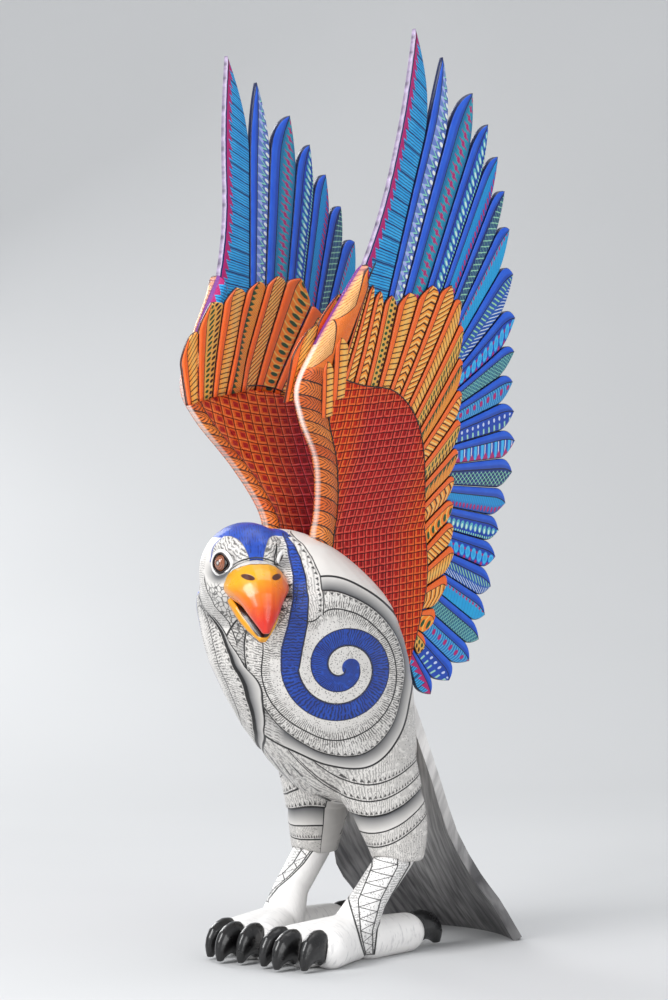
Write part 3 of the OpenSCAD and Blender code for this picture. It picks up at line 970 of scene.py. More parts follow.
def arm_solid(side):
    """The arm as a round roll outside and a narrow one along the front inside."""
    rows = []
    for k in range(ARM_ROWS + 1):
        rows.append((along(LEAD, k / ARM_ROWS), along(ARM_BACK, k / ARM_ROWS)))
    lead, back = (np.array([r[j] for r in rows]) for j in (0, 1))
    run = np.linspace(0, 1, ARM_ROWS + 1)[:, None]
    back = back + (back - lead) * 0.28 * ease(0.6, 0.74, run) * ease(1.0, 0.9, run)
    back = back + (lead - back) * 0.93 * ease(0.86, 1.0, run) ** 2
    width = np.linalg.norm(back - lead, axis=1)
    share = (1 - np.cos(np.linspace(0, ARM_ROUND, ARM_COLUMNS))) / (1 - math.cos(ARM_ROUND))
    flat = lead[:, None] + (back - lead)[:, None] * share[None, :, None]
    across = share[None, :] * width[:, None]
    round_share = np.minimum(np.sqrt(1 - (1 - np.clip(share / 0.45, 0, 1)) ** 2), 1)
    outer = HALF_ARM * round_share - 2.7 * ease(0.5, 1, share)
    front = np.sqrt(1 - (1 - np.clip(across / 8, 0, 1)) ** 2)
    inner = 7.6 * front - 1.7 * ease(9, 14, across)
    middle = np.array([[wing_x(z) for z in row] for row in flat[:, :, 1]])
    length = np.concatenate([[0], np.cumsum(np.linalg.norm(np.diff((lead + back) / 2, axis=0), axis=1))])
    taper = (ease(-3, 5, length[-1] - length) * 0.45 + 0.55)[:, None]
    flip = SIDES[side]
    top = np.stack([(middle + outer[None, :] * taper) * flip, flat[:, :, 0], flat[:, :, 1]], axis=2)
    bottom = np.stack([(middle - inner * taper) * flip, flat[:, :, 0], flat[:, :, 1]], axis=2)
    quill = np.stack([across, np.repeat(length[:, None], ARM_COLUMNS, 1),
                      np.repeat(width[:, None], ARM_COLUMNS, 1)], axis=2)
    return slab(top, bottom, {"quill": quill}, {"quill": quill})


def outline_path(points, side, distance):
    """A line in (y, z) laid on a face of the wing."""
    return [((wing_x(z) + distance) * SIDES[side], y, z) for y, z in points]


def flight_solid(i, side):
    return feather_solid(flight_edges(i), side, -HALF_FEATHER, HALF_FEATHER, 0.6, 0.3, STRIP)


def make_wing(side, blue, first_blue, gold, arm, arm_inner, ink):
    body = side + "_wing"
    for i in range(PRIMARY_COUNT):
        points, faces, _, fields = flight_solid(i, side)
        material = first_blue if i == 0 else blue[FLIGHT_PATTERNS[i]]
        node = f"{side}_primary_{i + 1}"
        piece = make_piece(node + "_painted", body, points, faces, [material], fields=fields)
        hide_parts(node)

    rest = Collected()
    for i in range(PRIMARY_COUNT, FLIGHT_COUNT):
        points, faces, _, fields = flight_solid(i, side)
        rest.add(points, faces, [FLIGHT_PATTERNS[i]] * len(faces), fields)
    piece = rest.piece(side + "_secondaries_painted", body, blue)
    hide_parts(side + "_secondaries")

    for face, count, edges, patterns in (("outer", COVERT_COUNT, covert_edges, OUTER_GOLD),
                                         ("inner", len(INNER_STATIONS), inner_covert_edges, INNER_GOLD)):
        coverts = Collected()
        for i in range(count):
            points, faces, _, fields = feather_solid(edges(i), side, 2.0, COVERT_TOP, 0.45, 0.3, 0.3)
            if face == "inner":
                middle = np.array([wing_x(z) for z in points[:, 2]]) * SIDES[side]
                points = np.stack([2 * middle - points[:, 0], points[:, 1], points[:, 2]], axis=1)
                over_arm = ease(-38, -62, points[:, 1]) * 3.2 * SIDES[side]
                points[:, 0] -= over_arm
                faces = [f[::-1] for f in faces]
            coverts.add(points, faces, [patterns[i]] * len(faces), fields)
        if face == "outer":
            for seats, tips in zip(WRIST_SEATS, WRIST_TIPS):
                shape = feather_edges(lambda u: along(seats, u), lambda u: along(tips, u), 0, 1, 0.45, 0, 11)
                points, faces, _, fields = feather_solid(shape, side, 6.0, HALF_ARM + 1.3, 0.45, 0.3, 0.3)
                coverts.add(points, faces, [0] * len(faces), fields)
        piece = coverts.piece(f"{side}_{face}_coverts_painted", body, gold)
        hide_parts(f"{side}_{face}_coverts")

    points, faces, sides, fields = arm_solid(side)
    picks = [1 if s == 1 else 0 for s in sides]
    piece = make_piece(side + "_wing_arm_painted", body, points, faces, [arm, arm_inner], picks, fields)
    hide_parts(side + "_wing_arm")

    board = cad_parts[side + "_wing_board"]
    board.material_slots[0].material = board_paint(side)

    contour = Collected()
    edge = [along(BOARD_EDGE, k / 60) for k in range(61)]
    for distance in (HALF_BOARD - 0.2, -HALF_BOARD + 0.2):
        line = edge if distance > 0 else [inner_seat(k / 60) for k in range(61)]
        points, faces = bead(outline_path(line, side, distance), CONTOUR)
        contour.add(points, faces, [0] * len(faces), {})
    line = [along(ARM_BACK, k / 40) for k in range(2, 41)]
    points, faces = bead(outline_path(line, side, HALF_BOARD - 0.2), CONTOUR)
    contour.add(points, faces, [0] * len(faces), {})
    piece = contour.piece(side + "_wing_contours", body, [ink])


# ---- carved body ---------------------------------------------------------------------------

BODY_VOXEL = 1.5
VIEW_TURN = math.radians(41)
HEAD_CENTRE = np.array([0, -112, 318])
HEAD_TURN = math.radians(56)
EYE_AT = np.array([22.5, -19.5, 7])  # the left one, on the head before it is turned
JAW_HEIGHTS = [-56, -40, -27, -14]   # on the head, and how far round from the beak the jaw is
JAW_TURNS = [33, 47, 74, 78]
EYE_RADIUS = 8.2

# Painted rings round each shoulder, as seen square on: their centre, and their radii at 16 even
# turns from the front of the bird, under, behind and over the shoulder
RING_CENTRE = (-5.6, 236.6)
RING_ONE = [55, 53, 51, 51, 55, 56, 56, 55, 53, 52, 51, 52, 52, 46, 74, 58]
RING_TWO = [66, 61, 60, 62, 68, 73, 69, 62.5, 61, 60.5, 61, 63, 67, 68, 80, 74]
RING_THREE = [88, 79, 74, 71, 77, 84.5, 79, 70.5, 69, 68.5, 69.5, 72.5, 78, 78, 81.5, 88]
# The right side's rings are wider at the chest, where they lie over the left side's
RIGHT_RING_ONE = [63, 58, 54, 51, 55, 56, 56, 55, 53, 52, 51, 52, 52, 46, 74, 72]
RIGHT_RING_TWO = [80, 72, 68, 65, 68, 73, 69, 62.5, 61, 60.5, 61, 63, 67, 68, 78, 85]
RIGHT_LAP = 20       # how far over the bird's middle the right side's rings reach

# Spiral inside the rings: its centre, outer radius, gain for each turn and width
SPIRAL_CENTRE = (3.96, 241.4)
SPIRAL_OUT = 49.6
SPIRAL_GAIN = 24.0
SPIRAL_BAND = 0.6
SPIRAL_TURNS = 1.5

# Blue band from the spiral up the neck: heights, its front and rear edges, and the line behind
NECK_HEIGHTS = [238, 257, 277, 297, 315, 330, 349]
NECK_FRONT = [-45.6, -45.5, -40, -36, -36, -39, -45]
NECK_REAR = [-31.2, -28, -24, -23, -25.5, -30, -42]
NECK_LINE = [-12, -12, -12, -11, -14, -21, -38]

# Strap down each shank, square on to a viewer in front of the left side: its lower end, some
# heights, its edges and those of its zigzag there, and how near the shank's axis is
STRAP_END = {"left": 4.5, "right": 40}
STRAP_HEIGHTS = {"left": [5, 26, 50, 75], "right": [42, 52, 60, 70, 80]}
STRAP_EDGES = {"left": [[22, 16.5, 8.5, 13], [29.5, 32, 43, 59], [23, 18.5, 16.5, 28], [28.5, 28, 35, 49]],
               "right": [[-86, -78, -68, -57, -49], [-58, -50, -40, -29, -21], [-68, -60, -49, -38, -31],
                         [-60, -52, -42, -31, -23]]}
SHANK_HEIGHTS = [19, 50, 82]
SHANK_NEAR = {"left": [47.6, 35.8, 13.6], "right": [-2.3, -20.7, -46.8]}

# Heights of the scallops across each thigh, and how fast they rise to either side
SCALLOPS = [143, 129, 116, 102, 90]
SCALLOP_MIDDLE = 25
SCALLOP_RISE = 95


def joined_shape(nodes, voxel, rounds):
    """One smooth mesh from several CAD solids: its points in millimetres, faces and normals."""
    joined = bmesh.new()
    for node in nodes:
        joined.from_mesh(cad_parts[node].data)
    mesh = bpy.data.meshes.new("joined")
    joined.to_mesh(mesh)
    joined.free()
    made = bpy.data.objects.new("joined", mesh)
    bpy.context.scene.collection.objects.link(made)
    remesh = made.modifiers.new("remesh", "REMESH")
    remesh.mode = "VOXEL"
    remesh.voxel_size = voxel * MM
    smooth = made.modifiers.new("smooth", "SMOOTH")
    smooth.factor = 0.5
    smooth.iterations = rounds
    shape = made.evaluated_get(bpy.context.evaluated_depsgraph_get())
    result = bpy.data.meshes.new_from_object(shape)
    bpy.data.objects.remove(made)
    points = np.zeros(len(result.vertices) * 3, np.float32)
    result.vertices.foreach_get("co", points)
    points = points.reshape(-1, 3).astype(float) / MM - [0, FRONT_SHIFT, 0]
    faces = [tuple(f.vertices) for f in result.polygons]
    normals = np.zeros(len(result.vertices) * 3, np.float32)
    result.vertices.foreach_get("normal", normals)
    return points, faces, normals.reshape(-1, 3).astype(float)


def soften(points, faces, weight, rounds):
    """Draws each point towards the mean of its neighbours, by its weight from 0 to 1."""
    pairs = np.array([(f[k], f[(k + 1) % len(f)]) for f in faces for k in range(len(f))])
    count = np.bincount(pairs[:, 0], minlength=len(points))[:, None]
    for _ in range(rounds):
        total = np.stack([np.bincount(pairs[:, 0], points[pairs[:, 1], k],
                                      len(points)) for k in range(3)], axis=1)
        points = points + (total / np.maximum(count, 1) - points) * weight[:, None] * 0.6
    return points


def on_head(points):
    """Places on the head before it is turned, from its centre."""
    away = points - HEAD_CENTRE
    c, s = math.cos(HEAD_TURN), math.sin(HEAD_TURN)
    return np.stack([away[:, 0] * c + away[:, 1] * s, away[:, 1] * c - away[:, 0] * s, away[:, 2]], axis=1)


def off_head(points):
    """The other way: from places on the unturned head to the design frame."""
    c, s = math.cos(HEAD_TURN), math.sin(HEAD_TURN)
    turned = np.stack([points[:, 0] * c - points[:, 1] * s, points[:, 0] * s + points[:, 1] * c,
                       points[:, 2]], axis=1)
    return turned + HEAD_CENTRE


def round_curve(values, turns):
    """Smooth closed curve of radii at turns from 0 to 1."""
    values = np.asarray(values, float)
    at = (turns % 1) * len(values)
    i = at.astype(int) % len(values)
    t = at - np.floor(at)
    a, b, d, e = (values[(i + k) % len(values)] for k in (-1, 0, 1, 2))
    return between(a, b, d, e, t)


def side_fields(points, side, rings):
    """Square-on place, distances outside three rings, and distances behind the neck's lines."""
    x = points[:, 0] * SIDES[side]
    s = x * math.cos(VIEW_TURN) + points[:, 1] * math.sin(VIEW_TURN)
    z = points[:, 2]
    dx, dz = s - RING_CENTRE[0], z - RING_CENTRE[1]
    radius = np.hypot(dx, dz)
    turns = np.arctan2(-dz, -dx) / (2 * math.pi)
    outside = np.stack([radius - round_curve(ring, turns) for ring in rings], axis=1)
    neck = np.stack([s - np.interp(z, NECK_HEIGHTS, edge) for edge in (NECK_FRONT, NECK_REAR,
                                                                       NECK_LINE)], axis=1)
    return {side + "_place": np.stack([s, z, x], axis=1), side + "_rings": outside, side + "_neck": neck}


def body_fields(points):
    fields = side_fields(points, "left", (RING_ONE, RING_TWO, RING_THREE))
    fields.update(side_fields(points, "right", (RIGHT_RING_ONE, RIGHT_RING_TWO, RING_THREE)))
    head = on_head(points)
    fields["head"] = head
    # the jaw line runs down behind each cheek and forward under the chin
    turn = np.degrees(np.arctan2(np.abs(head[:, 0]), -head[:, 1]))
    fields["jaw"] = (np.interp(head[:, 2], JAW_HEIGHTS, JAW_TURNS) - turn) * 0.5
    return fields


def scallop_level(place):
    """Height on a thigh, measured along its scallops."""
    return place[:, 1] - (place[:, 0] - SCALLOP_MIDDLE) ** 2 / SCALLOP_RISE


def carve(points, normals, fields):
    """Steps under the rings and scallops, brows and eye sockets, in millimetres along the normals."""
    rings = np.where((points[:, 0] > 0)[:, None], fields["left_rings"], fields["right_rings"])
    over = (points[:, 0] < RIGHT_LAP) & (fields["right_rings"][:, 2] < 0)
    rings = np.where(over[:, None], fields["right_rings"], rings)
    place = np.where((points[:, 0] > 0)[:, None], fields["left_place"], fields["right_place"])
    head = fields["head"]
    from_head = np.linalg.norm(head, axis=1)
    clear = ease(44, 54, from_head)
    band = rings[:, 1] / np.maximum(rings[:, 1] - rings[:, 2], 0.5)
    groove = ease(-0.8, 1.0, rings[:, 1]) * np.clip(1 - band, 0, 1)
    level = scallop_level(place)
    hem = ease(0.8, -0.8, level - SCALLOPS[2]) * np.clip((level - SCALLOPS[3]) / (SCALLOPS[2]
                                                                                  - SCALLOPS[3]), 0, 1)
    hem *= ease(0, 4, rings[:, 2]) * ease(200, 150, points[:, 2])
    depth = -1.7 * groove * clear - 1.6 * hem
    for sign in (-1, 1):
        eye = head - EYE_AT * [sign, 1, 1]
        away = np.linalg.norm(eye, axis=1)
        socket = ease(17, 11, away) * ease(12, 4, eye[:, 2])
        depth -= 1.8 * socket
        brow = np.exp(-((eye[:, 2] - 13) / 4.5) ** 2) * np.exp(-((eye[:, 1] + 2) / 15) ** 2)
        brow *= head[:, 0] * sign > 4
        depth += 1.8 * brow
    return points + normals * depth[:, None]


def strokes(p, place, along_field, pitch, width=0.42, share=0.4):
    """Fine uneven strokes side by side along a coordinate."""
    uneven = along_field + (p.noise(place, 4, 1) - 0.5) * pitch * 1.3
    return uneven.repeat(pitch).line(0, pitch * width, pitch * 0.16) * p.noise(place, 3.6,
                                                                               1).above(share, 0.07)


def stipple(p, place, size, share=0.3):
    """Small dots strewn over a surface."""
    return p.cells(place, size).below(share, 0.08) * p.noise(place, size * 3, 1).above(0.4, 0.06)


def triangle_row(along_field, height, pitch, tall):
    """Small solid triangles standing on a line, where height is the distance from it."""
    share = 1 - abs(along_field.repeat(pitch)) / (pitch * 0.36)
    return (share * tall - height).above(0, 0.15) * height.above(0.3, 0.15)


def blue_wash(p, where, strokes_mask):
    """Ultramarine with darker brush strokes."""
    cloud = p.noise(where, 9, 3)
    base = p.mix(cloud.above(0.5, 0.3), tint("#0d3596"), tint("#1850bd"))
    return p.mix(strokes_mask * 0.9, base, tint("#040e38"))


def body_paint():
    p = Paint("body_linework", roughness=0.42, coat=0.15)
    left_s, z, x = p.vector("left_place")
    right_s, _, _ = p.vector("right_place")
    left_rings, right_rings = p.vector("left_rings"), p.vector("right_rings")
    left_neck, right_neck = p.vector("left_neck"), p.vector("right_neck")
    head_x, head_y, head_z = p.vector("head")
    lap = x.below(RIGHT_LAP, 0.01) * right_rings[2].below(0, 0.01)
    on_right = x.below(0, 0.01) | lap
    s = p.choose(on_right, left_s, right_s)
    one, two, three = (p.choose(on_right, a, b) for a, b in zip(left_rings, right_rings))
    front, rear, seam = (p.choose(on_right, a, b) for a, b in zip(left_neck, right_neck))
    solid_place = p.join(x, s, z)
    wobble = (p.noise(solid_place, 11, 1) - 0.5) * 0.8
    from_head = (head_x * head_x + head_y * head_y + head_z * head_z).root()
    off_face = from_head.above(45, 1.0)

    # turns round the rings, in millimetres at their usual size
    dx, dz = s - RING_CENTRE[0], z - RING_CENTRE[1]
    sweep = dz.do("ARCTAN2", dx) * 55
    radial = strokes(p, solid_place, sweep, 1.8)

    # the spiral
    sx, sz = s - SPIRAL_CENTRE[0], z - SPIRAL_CENTRE[1]
    reach = (sx * sx + sz * sz).root()
    turn = ((-sz).do("ARCTAN2", -sx) / (2 * math.pi)).fract()
    coil = (SPIRAL_OUT - reach) / SPIRAL_GAIN - turn
    part = coil.fract()
    total = coil.do("FLOOR") + turn
    fringe = (p.noise(p.join(turn * 150, total), 0.9, 1) - 0.5) * 0.1
    in_coil = total.above(0, 0.004) * total.below(SPIRAL_TURNS, 0.004)
    band = (part + fringe).below(SPIRAL_BAND, 0.012) * in_coil
    end_x = sx - (SPIRAL_OUT - SPIRAL_GAIN * (SPIRAL_TURNS + SPIRAL_BAND / 2))
    cap = (end_x * end_x + sz * sz).root().below(SPIRAL_GAIN * SPIRAL_BAND / 2, 0.25)
    spiral = band | cap
    inner_edge = part.line(SPIRAL_BAND, 0.035, 0.01) * in_coil
    outer_edge = part.line(0.004, 0.03, 0.01) * in_coil

    # the neck's blue band, the white one behind it and the crown
    hair = (p.noise(p.join(s * 0.2, z * 3.2), 2.4, 1) - 0.5) * 1.7
    in_neck = (front + hair).above(0, 0.25) * (rear + hair * 0.4).below(0, 0.25)
    in_neck = in_neck * z.above(SPIRAL_CENTRE[1] - 1.2, 0.4) * z.below(349, 0.5)
    stem = head_y + 36 | 0
    stem_width = stem * 0.5 + stem * stem * 0.008 + 5.2
    brow_gap = abs(head_x) - stem_width
    crown = ((brow_gap + hair * 0.3).below(0, 0.3) | head_y.above(-13, 0.3)) * head_z.above(8, 0.4)
    crown = crown * (head_z.above(27, 0.3) | head_y.below(-12, 0.4)) * off_face.below(0.5, 0.1)
    blue = spiral | in_neck | crown
    across_band = p.choose(z.above(SPIRAL_CENTRE[1] + 4, 1) * front.above(-3, 0.5) * rear.below(3, 0.5),
                           turn * 210, z)
    brush = strokes(p, solid_place, across_band, 2.4, 0.42, 0.36) * (1 - crown)
    comb = strokes(p, solid_place, head_x - head_y * 0.15, 2.0, 0.36, 0.5) * crown * 0.7
    rim = ((front + hair).line(0.8, 1.6, 0.4) | (rear + hair * 0.4).line(-0.5, 1.1, 0.4)) * in_neck
    rim = rim | (part + fringe).line(SPIRAL_BAND - 0.03, 0.05, 0.02) * band
    rim = rim | (part + fringe).line(0.02, 0.04, 0.02) * band
    wash = blue_wash(p, solid_place, brush | comb | rim)

    # line work
    behind_seam = seam.above(0, 0.3) | z.below(284, 0.5)
    disc = (behind_seam | front.below(0, 0.3)) * off_face
    inside = three.below(0, 0.2) * off_face
    lines = (one + wobble).line(0, 1.1, 0.2) * disc
    lines = lines | (two + wobble).line(0, 1.9, 0.25) * disc
    lines = lines | three.line(0, 1.5, 0.2) * disc
    lines = lines | inner_edge | outer_edge * 0.8
    neck_zone = z.above(284, 0.5) * front.above(0, 0.2) * z.below(350, 0.5)
    lines = lines | seam.line(0, 0.9, 0.2) * neck_zone
    lines = lines | rear.line(0, 0.7, 0.2) * z.within(SPIRAL_CENTRE[1], 347, 0.4) * off_face
    white_band = neck_zone * seam.below(0, 0.3) * rear.above(0, 0.3)
    lines = lines | triangle_row(z, -seam - 1.5, 4.2, 3.0) * white_band * 0.9
    lines = lines | triangle_row(sweep, -two - 1.2, 4.4, 2.6) * disc * one.above(1, 0.2) * 0.8

    # hatching between the lines
    fringe_zone = spiral.below(0.5, 0.1) * one.within(-6, 6, 1.0) * disc
    hatching = radial * (fringe_zone * 0.75 + one.above(-9, 3) * two.below(0, 0.3) * disc * 0.5 & 0.9)
    front_fringe = strokes(p, solid_place, z, 1.9) * front.within(-8.5, 0, 0.8)
    front_fringe = front_fringe * z.above(250, 2) * z.below(345, 1)
    hatching = hatching | front_fringe * 0.85
    dots = stipple(p, solid_place, 1.6) * inside * two.below(-0.5, 0.2)
    hatching = hatching | dots * 0.7
    throat = on_right.below(0.5, 0.1) * s.below(-46, 3) * two.above(0, 0.5) * three.below(0, 0.3) * off_face
    hatching = hatching | strokes(p, solid_place, z * 0.8 + s * 0.4, 1.9) * throat * 0.7
    back_net = strokes(p, solid_place, sweep, 1.9) * white_band
    hatching = hatching | back_net * 0.5

    # thighs and belly under the rings
    lean = s - SCALLOP_MIDDLE
    level = z - lean * lean / SCALLOP_RISE + wobble
    below = three.above(0.6, 0.2) * z.below(205, 2)
    leg_x = abs(x) - 36
    leg_y = (s - abs(x) * math.cos(VIEW_TURN)) / math.sin(VIEW_TURN) - 16
    round_leg = leg_y.do("ARCTAN2", leg_x) * 30
    inner_leg = (round_leg.below(-76, 0.5) | round_leg.above(64, 0.5)) * z.below(134, 3)
    below = below * inner_leg.below(0.5, 0.1)
    heavy = below * lean.above(-36, 4)
    lines = lines | round_leg.line(-76, 1.4, 0.3) * z.below(132, 2)
    for k, height in enumerate(SCALLOPS):
        bold = level.line(height, 1.9 if k == 2 else 1.2, 0.2) * (heavy if k == 2 else below)
        lines = lines | bold
        if k != 3:
            row = triangle_row(round_leg, level - height - 1.4, 3.8, 3.0)
            lines = lines | row * below * level.below(height + 5, 0.3) * 0.85
    lines = lines | level.line(160, 1.0, 0.2) * below * s.below(20, 2)
    downward = strokes(p, solid_place, round_leg, 1.8)
    plain = level.within(SCALLOPS[3], SCALLOPS[2], 0.3) * heavy
    hatching = hatching | downward * below * plain.below(0.5, 0.1) * 0.55
    hatching = hatching | stipple(p, solid_place, 1.6) * below * plain.below(0.5, 0.1) * 0.6

    # grey in the rings' grooves and under the thighs' hems, partly grey paint and partly painted shade;
    # painted shade on the legs' inner sides
    depth = two / (two - three | 0.5)
    groove = two.above(0, 0.2) * three.below(0, 0.2) * disc * (1 - depth).do("POWER", 0.9) * (1
                                                                                              - throat * 0.6)
    hem = plain * below * ((level - SCALLOPS[3]) / (SCALLOPS[2] - SCALLOPS[3]) | 0)
    inner_shade = inner_leg * (0.04 + p.noise(solid_place, 22, 2).above(0.5, 0.25) * 0.22)
    shade = groove | hem | inner_shade

    # face: hatched brows, cere and cheek scales
    face = from_head.below(50, 1.0)
    wedge_side = abs(head_x) - 17 - (head_z - 6) * 0.2
    wedge_back = wedge_side + (head_z - 6) * 0.24
    wedge = wedge_side.above(-2.6, 0.2) * wedge_back.below(2.0, 0.2)
    wedge = wedge * head_z.within(5, 22, 0.3) * head_y.below(-18, 1) * head_x.above(0, 0.1)
    wedge_in = wedge_side.above(-1.4, 0.2) * wedge_back.below(0.9, 0.2) * head_z.within(6.5, 18, 0.3)
    lines = lines | wedge - wedge_in * wedge
    brow = brow_gap.within(0, 10, 0.8) * head_y.below(-13, 0.5) * head_z.above(9, 0.6) * face
    brow_lines = strokes(p, solid_place, head_z - head_y * 0.9, 2.0) * brow
    hatching = hatching | brow_lines * 0.85 | stipple(p, solid_place, 1.5) * brow * 0.6
    arch = head_z + head_x * head_x * 0.016 - 11.5
    cere_line = arch.line(0, 1.2, 0.25) * abs(head_x).below(21, 0.4) * head_y.below(-20, 0.5) * face
    lines = lines | cere_line
    lines = lines | brow_gap.line(0, 0.6, 0.2) * brow
    jaw = p.number("jaw")
    cheek = from_head.below(62, 2) * head_z.below(-9, 1.5) * jaw.above(0, 0.4) * three.above(-60, 1)
    scale_place = p.join(head_x, head_y * 0.8, head_z)
    scales = p.cells(scale_place, 4.0, feature="DISTANCE_TO_EDGE").below(0.07, 0.03)
    lines = lines | scales * cheek * 0.8
    lines = lines | jaw.line(0, 1.4, 0.3) * from_head.below(64, 2) * head_z.below(-4, 2)
    beside = face * jaw.below(0, 0.5) * head_z.below(12, 8)
    hatching = hatching | strokes(p, solid_place, head_z, 1.8) * beside * 0.55
    eye_x, eye_y, eye_z = (abs(head_x) - EYE_AT[0], head_y - EYE_AT[1], head_z - EYE_AT[2])
    from_eye = (eye_x * eye_x + eye_y * eye_y + eye_z * eye_z).root()
    # painted shade in each eye socket, strongest below and in front of the eye, and under the head
    toward = 0.5 - eye_z * 0.05 - eye_y * 0.02 | 0.1
    socket = from_eye.below(15.5, 3.2) * from_eye.above(8.6, 0.5) * toward
    under = head_z.below(-22, 10) * face * 0.35
    shade = shade | socket & 0.9 | under

    cloud = p.noise(solid_place, 20, 3)
    colour = p.mix(cloud, tint("#d4d0cb"), tint("#e8e5e1"))
    # dark grey of the grooves and hems, with painted shade on the legs' inner sides, in the eye sockets and
    # under the head
    colour = p.mix(shade, colour, tint("#34373e"))
    colour = p.mix(hatching * blue.below(0.5, 0.1), colour, tint("#1c1a1b"))
    colour = p.mix(blue, colour, wash)
    colour = p.mix(lines, colour, BLACK)
    relief = cloud * 0.2 + (1 - lines) * 0.6 + (1 - hatching) * 0.2
    return p.finish(colour, relief, 0.25, cloud * 0.12 + 0.36)


def white_paint():
    """Thick white paint brushed over carved wood, with faint grey in its strokes."""
    p = Paint("white_paint", roughness=0.4, coat=0.15)
    x, y, z = p.place()
    where = p.join(x, y, z)
    cloud = p.noise(where, 18, 3)
    brushed = p.noise(p.join(x * 2, y * 0.5, z * 0.5), 5, 3)
    colour = p.mix(cloud, tint("#e2e0de"), tint("#f3f1ef"))
    colour = p.mix(brushed.above(0.66, 0.1) * 0.25, colour, tint("#9a9aa0"))
    return p.finish(colour, p.noise(where, 6, 3), 0.35, cloud * 0.12 + 0.34)


def foot_paint():
    """White foot with faint folds, painted shade in them low down, and a strap of zigzags painted down its
    shank.
    """
    p = Paint("foot_white", roughness=0.4, coat=0.15)
    outer_left, outer_right, near = p.vector("strap")
    inner_left, inner_right, up = p.vector("strap_inner")
    x, y, z = p.place()
    where = p.join(x, y, z)
    cloud = p.noise(where, 18, 3)
    folds = p.noise(p.join(x * 0.5, y * 2.2, z * 0.7), 6, 3)
    colour = p.mix(cloud, tint("#e4e2e0"), tint("#f5f3f1"))
    # painted shade: grey in the folds low on the foot
    colour = p.mix(folds.above(0.6, 0.06) * z.below(34, 6) * 0.3, colour, tint("#8f8d92"))
    facing = near.above(0, 0.6) * up.above(0, 0.5)
    strap = outer_left.above(0, 0.3) * outer_right.above(0, 0.3) * facing
    band = inner_left.above(0, 0.3) * inner_right.above(0, 0.3) * strap
    lines = (outer_left.line(0, 1.4, 0.3) | outer_right.line(0, 1.4, 0.3)) * facing
    lines = lines | up.line(0.3, 1.3, 0.3) * strap
    lines = lines | (inner_left.line(0, 1.0, 0.25) | inner_right.line(0, 1.0, 0.25)) * strap
    share = inner_left / (inner_left + inner_right | 1)
    wave = abs(up.repeat(9)) / 4.5
    lines = lines | (share - wave).line(0, 0.13, 0.04) * band
    dots = stipple(p, where, 1.7) * strap * 0.7
    hatch = strokes(p, where, z, 2.0) * strap * (1 - band) * 0.55
    colour = p.mix(dots | hatch, colour, tint("#1c1a1b"))
    colour = p.mix(lines, colour, BLACK)
    return p.finish(colour, folds * 0.6 + (1 - lines) * 0.4, 0.45, cloud * 0.12 + 0.34)


def tail_paint():
    """White tail with long grey strokes down it, and painted shade darkening it towards its lower edge and
    sides.
    """
    p = Paint("tail_white", roughness=0.45, coat=0.08)
    x, y, z = p.place()
    run = y * 0.5 - z * 0.86
    stroke = p.noise(p.join(x * 1.6, run * 0.16), 6, 3)
    cloud = p.noise(p.join(x, y, z), 40, 2)
    colour = p.mix(cloud, tint("#dad8d6"), tint("#efedeb"))
    # painted shade: dark grey towards the lower edge and the sides
    low = ease_field(z - abs(x) * 0.9, 130, 20)
    colour = p.mix(low * (0.6 + cloud.above(0.4, 0.3) * 0.3), colour, tint("#444346"))
    # grey strokes of paint, stronger within the painted shade
    colour = p.mix(stroke.above(0.52, 0.12) * (0.25 + low * 0.5), colour, tint("#2c2b2f"))
    return p.finish(colour, stroke, 0.35, cloud * 0.15 + 0.36)


def claw_paint():
    p = Paint("claw_black", roughness=0.3, coat=0.5)
    x, y, z = p.place()
    cloud = p.noise(p.join(x, y, z), 6, 3)
    return p.finish(p.mix(cloud, tint("#050506"), tint("#131213")), cloud, 0.3, cloud * 0.2 + 0.2)


def beak_paint():
    """Yellow at the root of the beak, through orange to red at its tip, under a white cere."""
    p = Paint("beak_blend", roughness=0.3, coat=0.4)
    x, y, z = p.vector("head")
    where = p.join(x, y, z)
    cloud = p.noise(where, 8, 3)
    low = x * 0.38 - z + (cloud - 0.5) * 6
    colour = p.mix(ease_field(low, 0, 14), tint("#e0a000"), tint("#e26e06"))
    colour = p.mix(ease_field(low, 15, 36), colour, tint("#d8260c"))
    streak = p.noise(p.join(x * 0.9, z * 0.1), 4, 2).above(0.55, 0.12)
    colour = p.mix(streak * ease_field(low, 14, 30) * 0.5, colour, tint("#b81d0e"))
    lower, gap, _ = p.vector("mouth")
    mouth = 0.5 + ease_field(-z, 16, 44) * 2.6
    lip = p.mix(ease_field(gap - mouth, 2.5, 6), tint("#e39c04"), tint("#cc6010"))
    colour = p.mix(lower, colour, lip)
    # painted shade: dark slit along the lower beak where it meets the upper
    mouth_shade = (gap - mouth).below(0, 0.4) * lower
    colour = p.mix(mouth_shade, colour, tint("#1c0805"))
    nostril_x = (abs(x) - 11.5) / 4.6
    nostril_y = (z + 5.5 - abs(x) * 0.2) / 2.3
    nostril = (nostril_x * nostril_x + nostril_y * nostril_y).below(1, 0.22) * y.below(-36, 1)
    colour = p.mix(nostril, colour, tint("#4a1c0a"))
    past_cere = y + 47 - x * x * 0.031
    cere = past_cere.above(0, 0.3) * z.above(0, 0.5)
    colour = p.mix(cere, colour, tint("#dcd8d3"))
    edge = past_cere.line(0, 0.9, 0.2) * z.above(0, 0.5)
    colour = p.mix(edge, colour, BLACK)
    relief = cloud * 0.2 + (1 - nostril) * 0.5 + (1 - mouth_shade) * 0.3
    return p.finish(colour, relief, 0.5, cloud * 0.15 + 0.22)


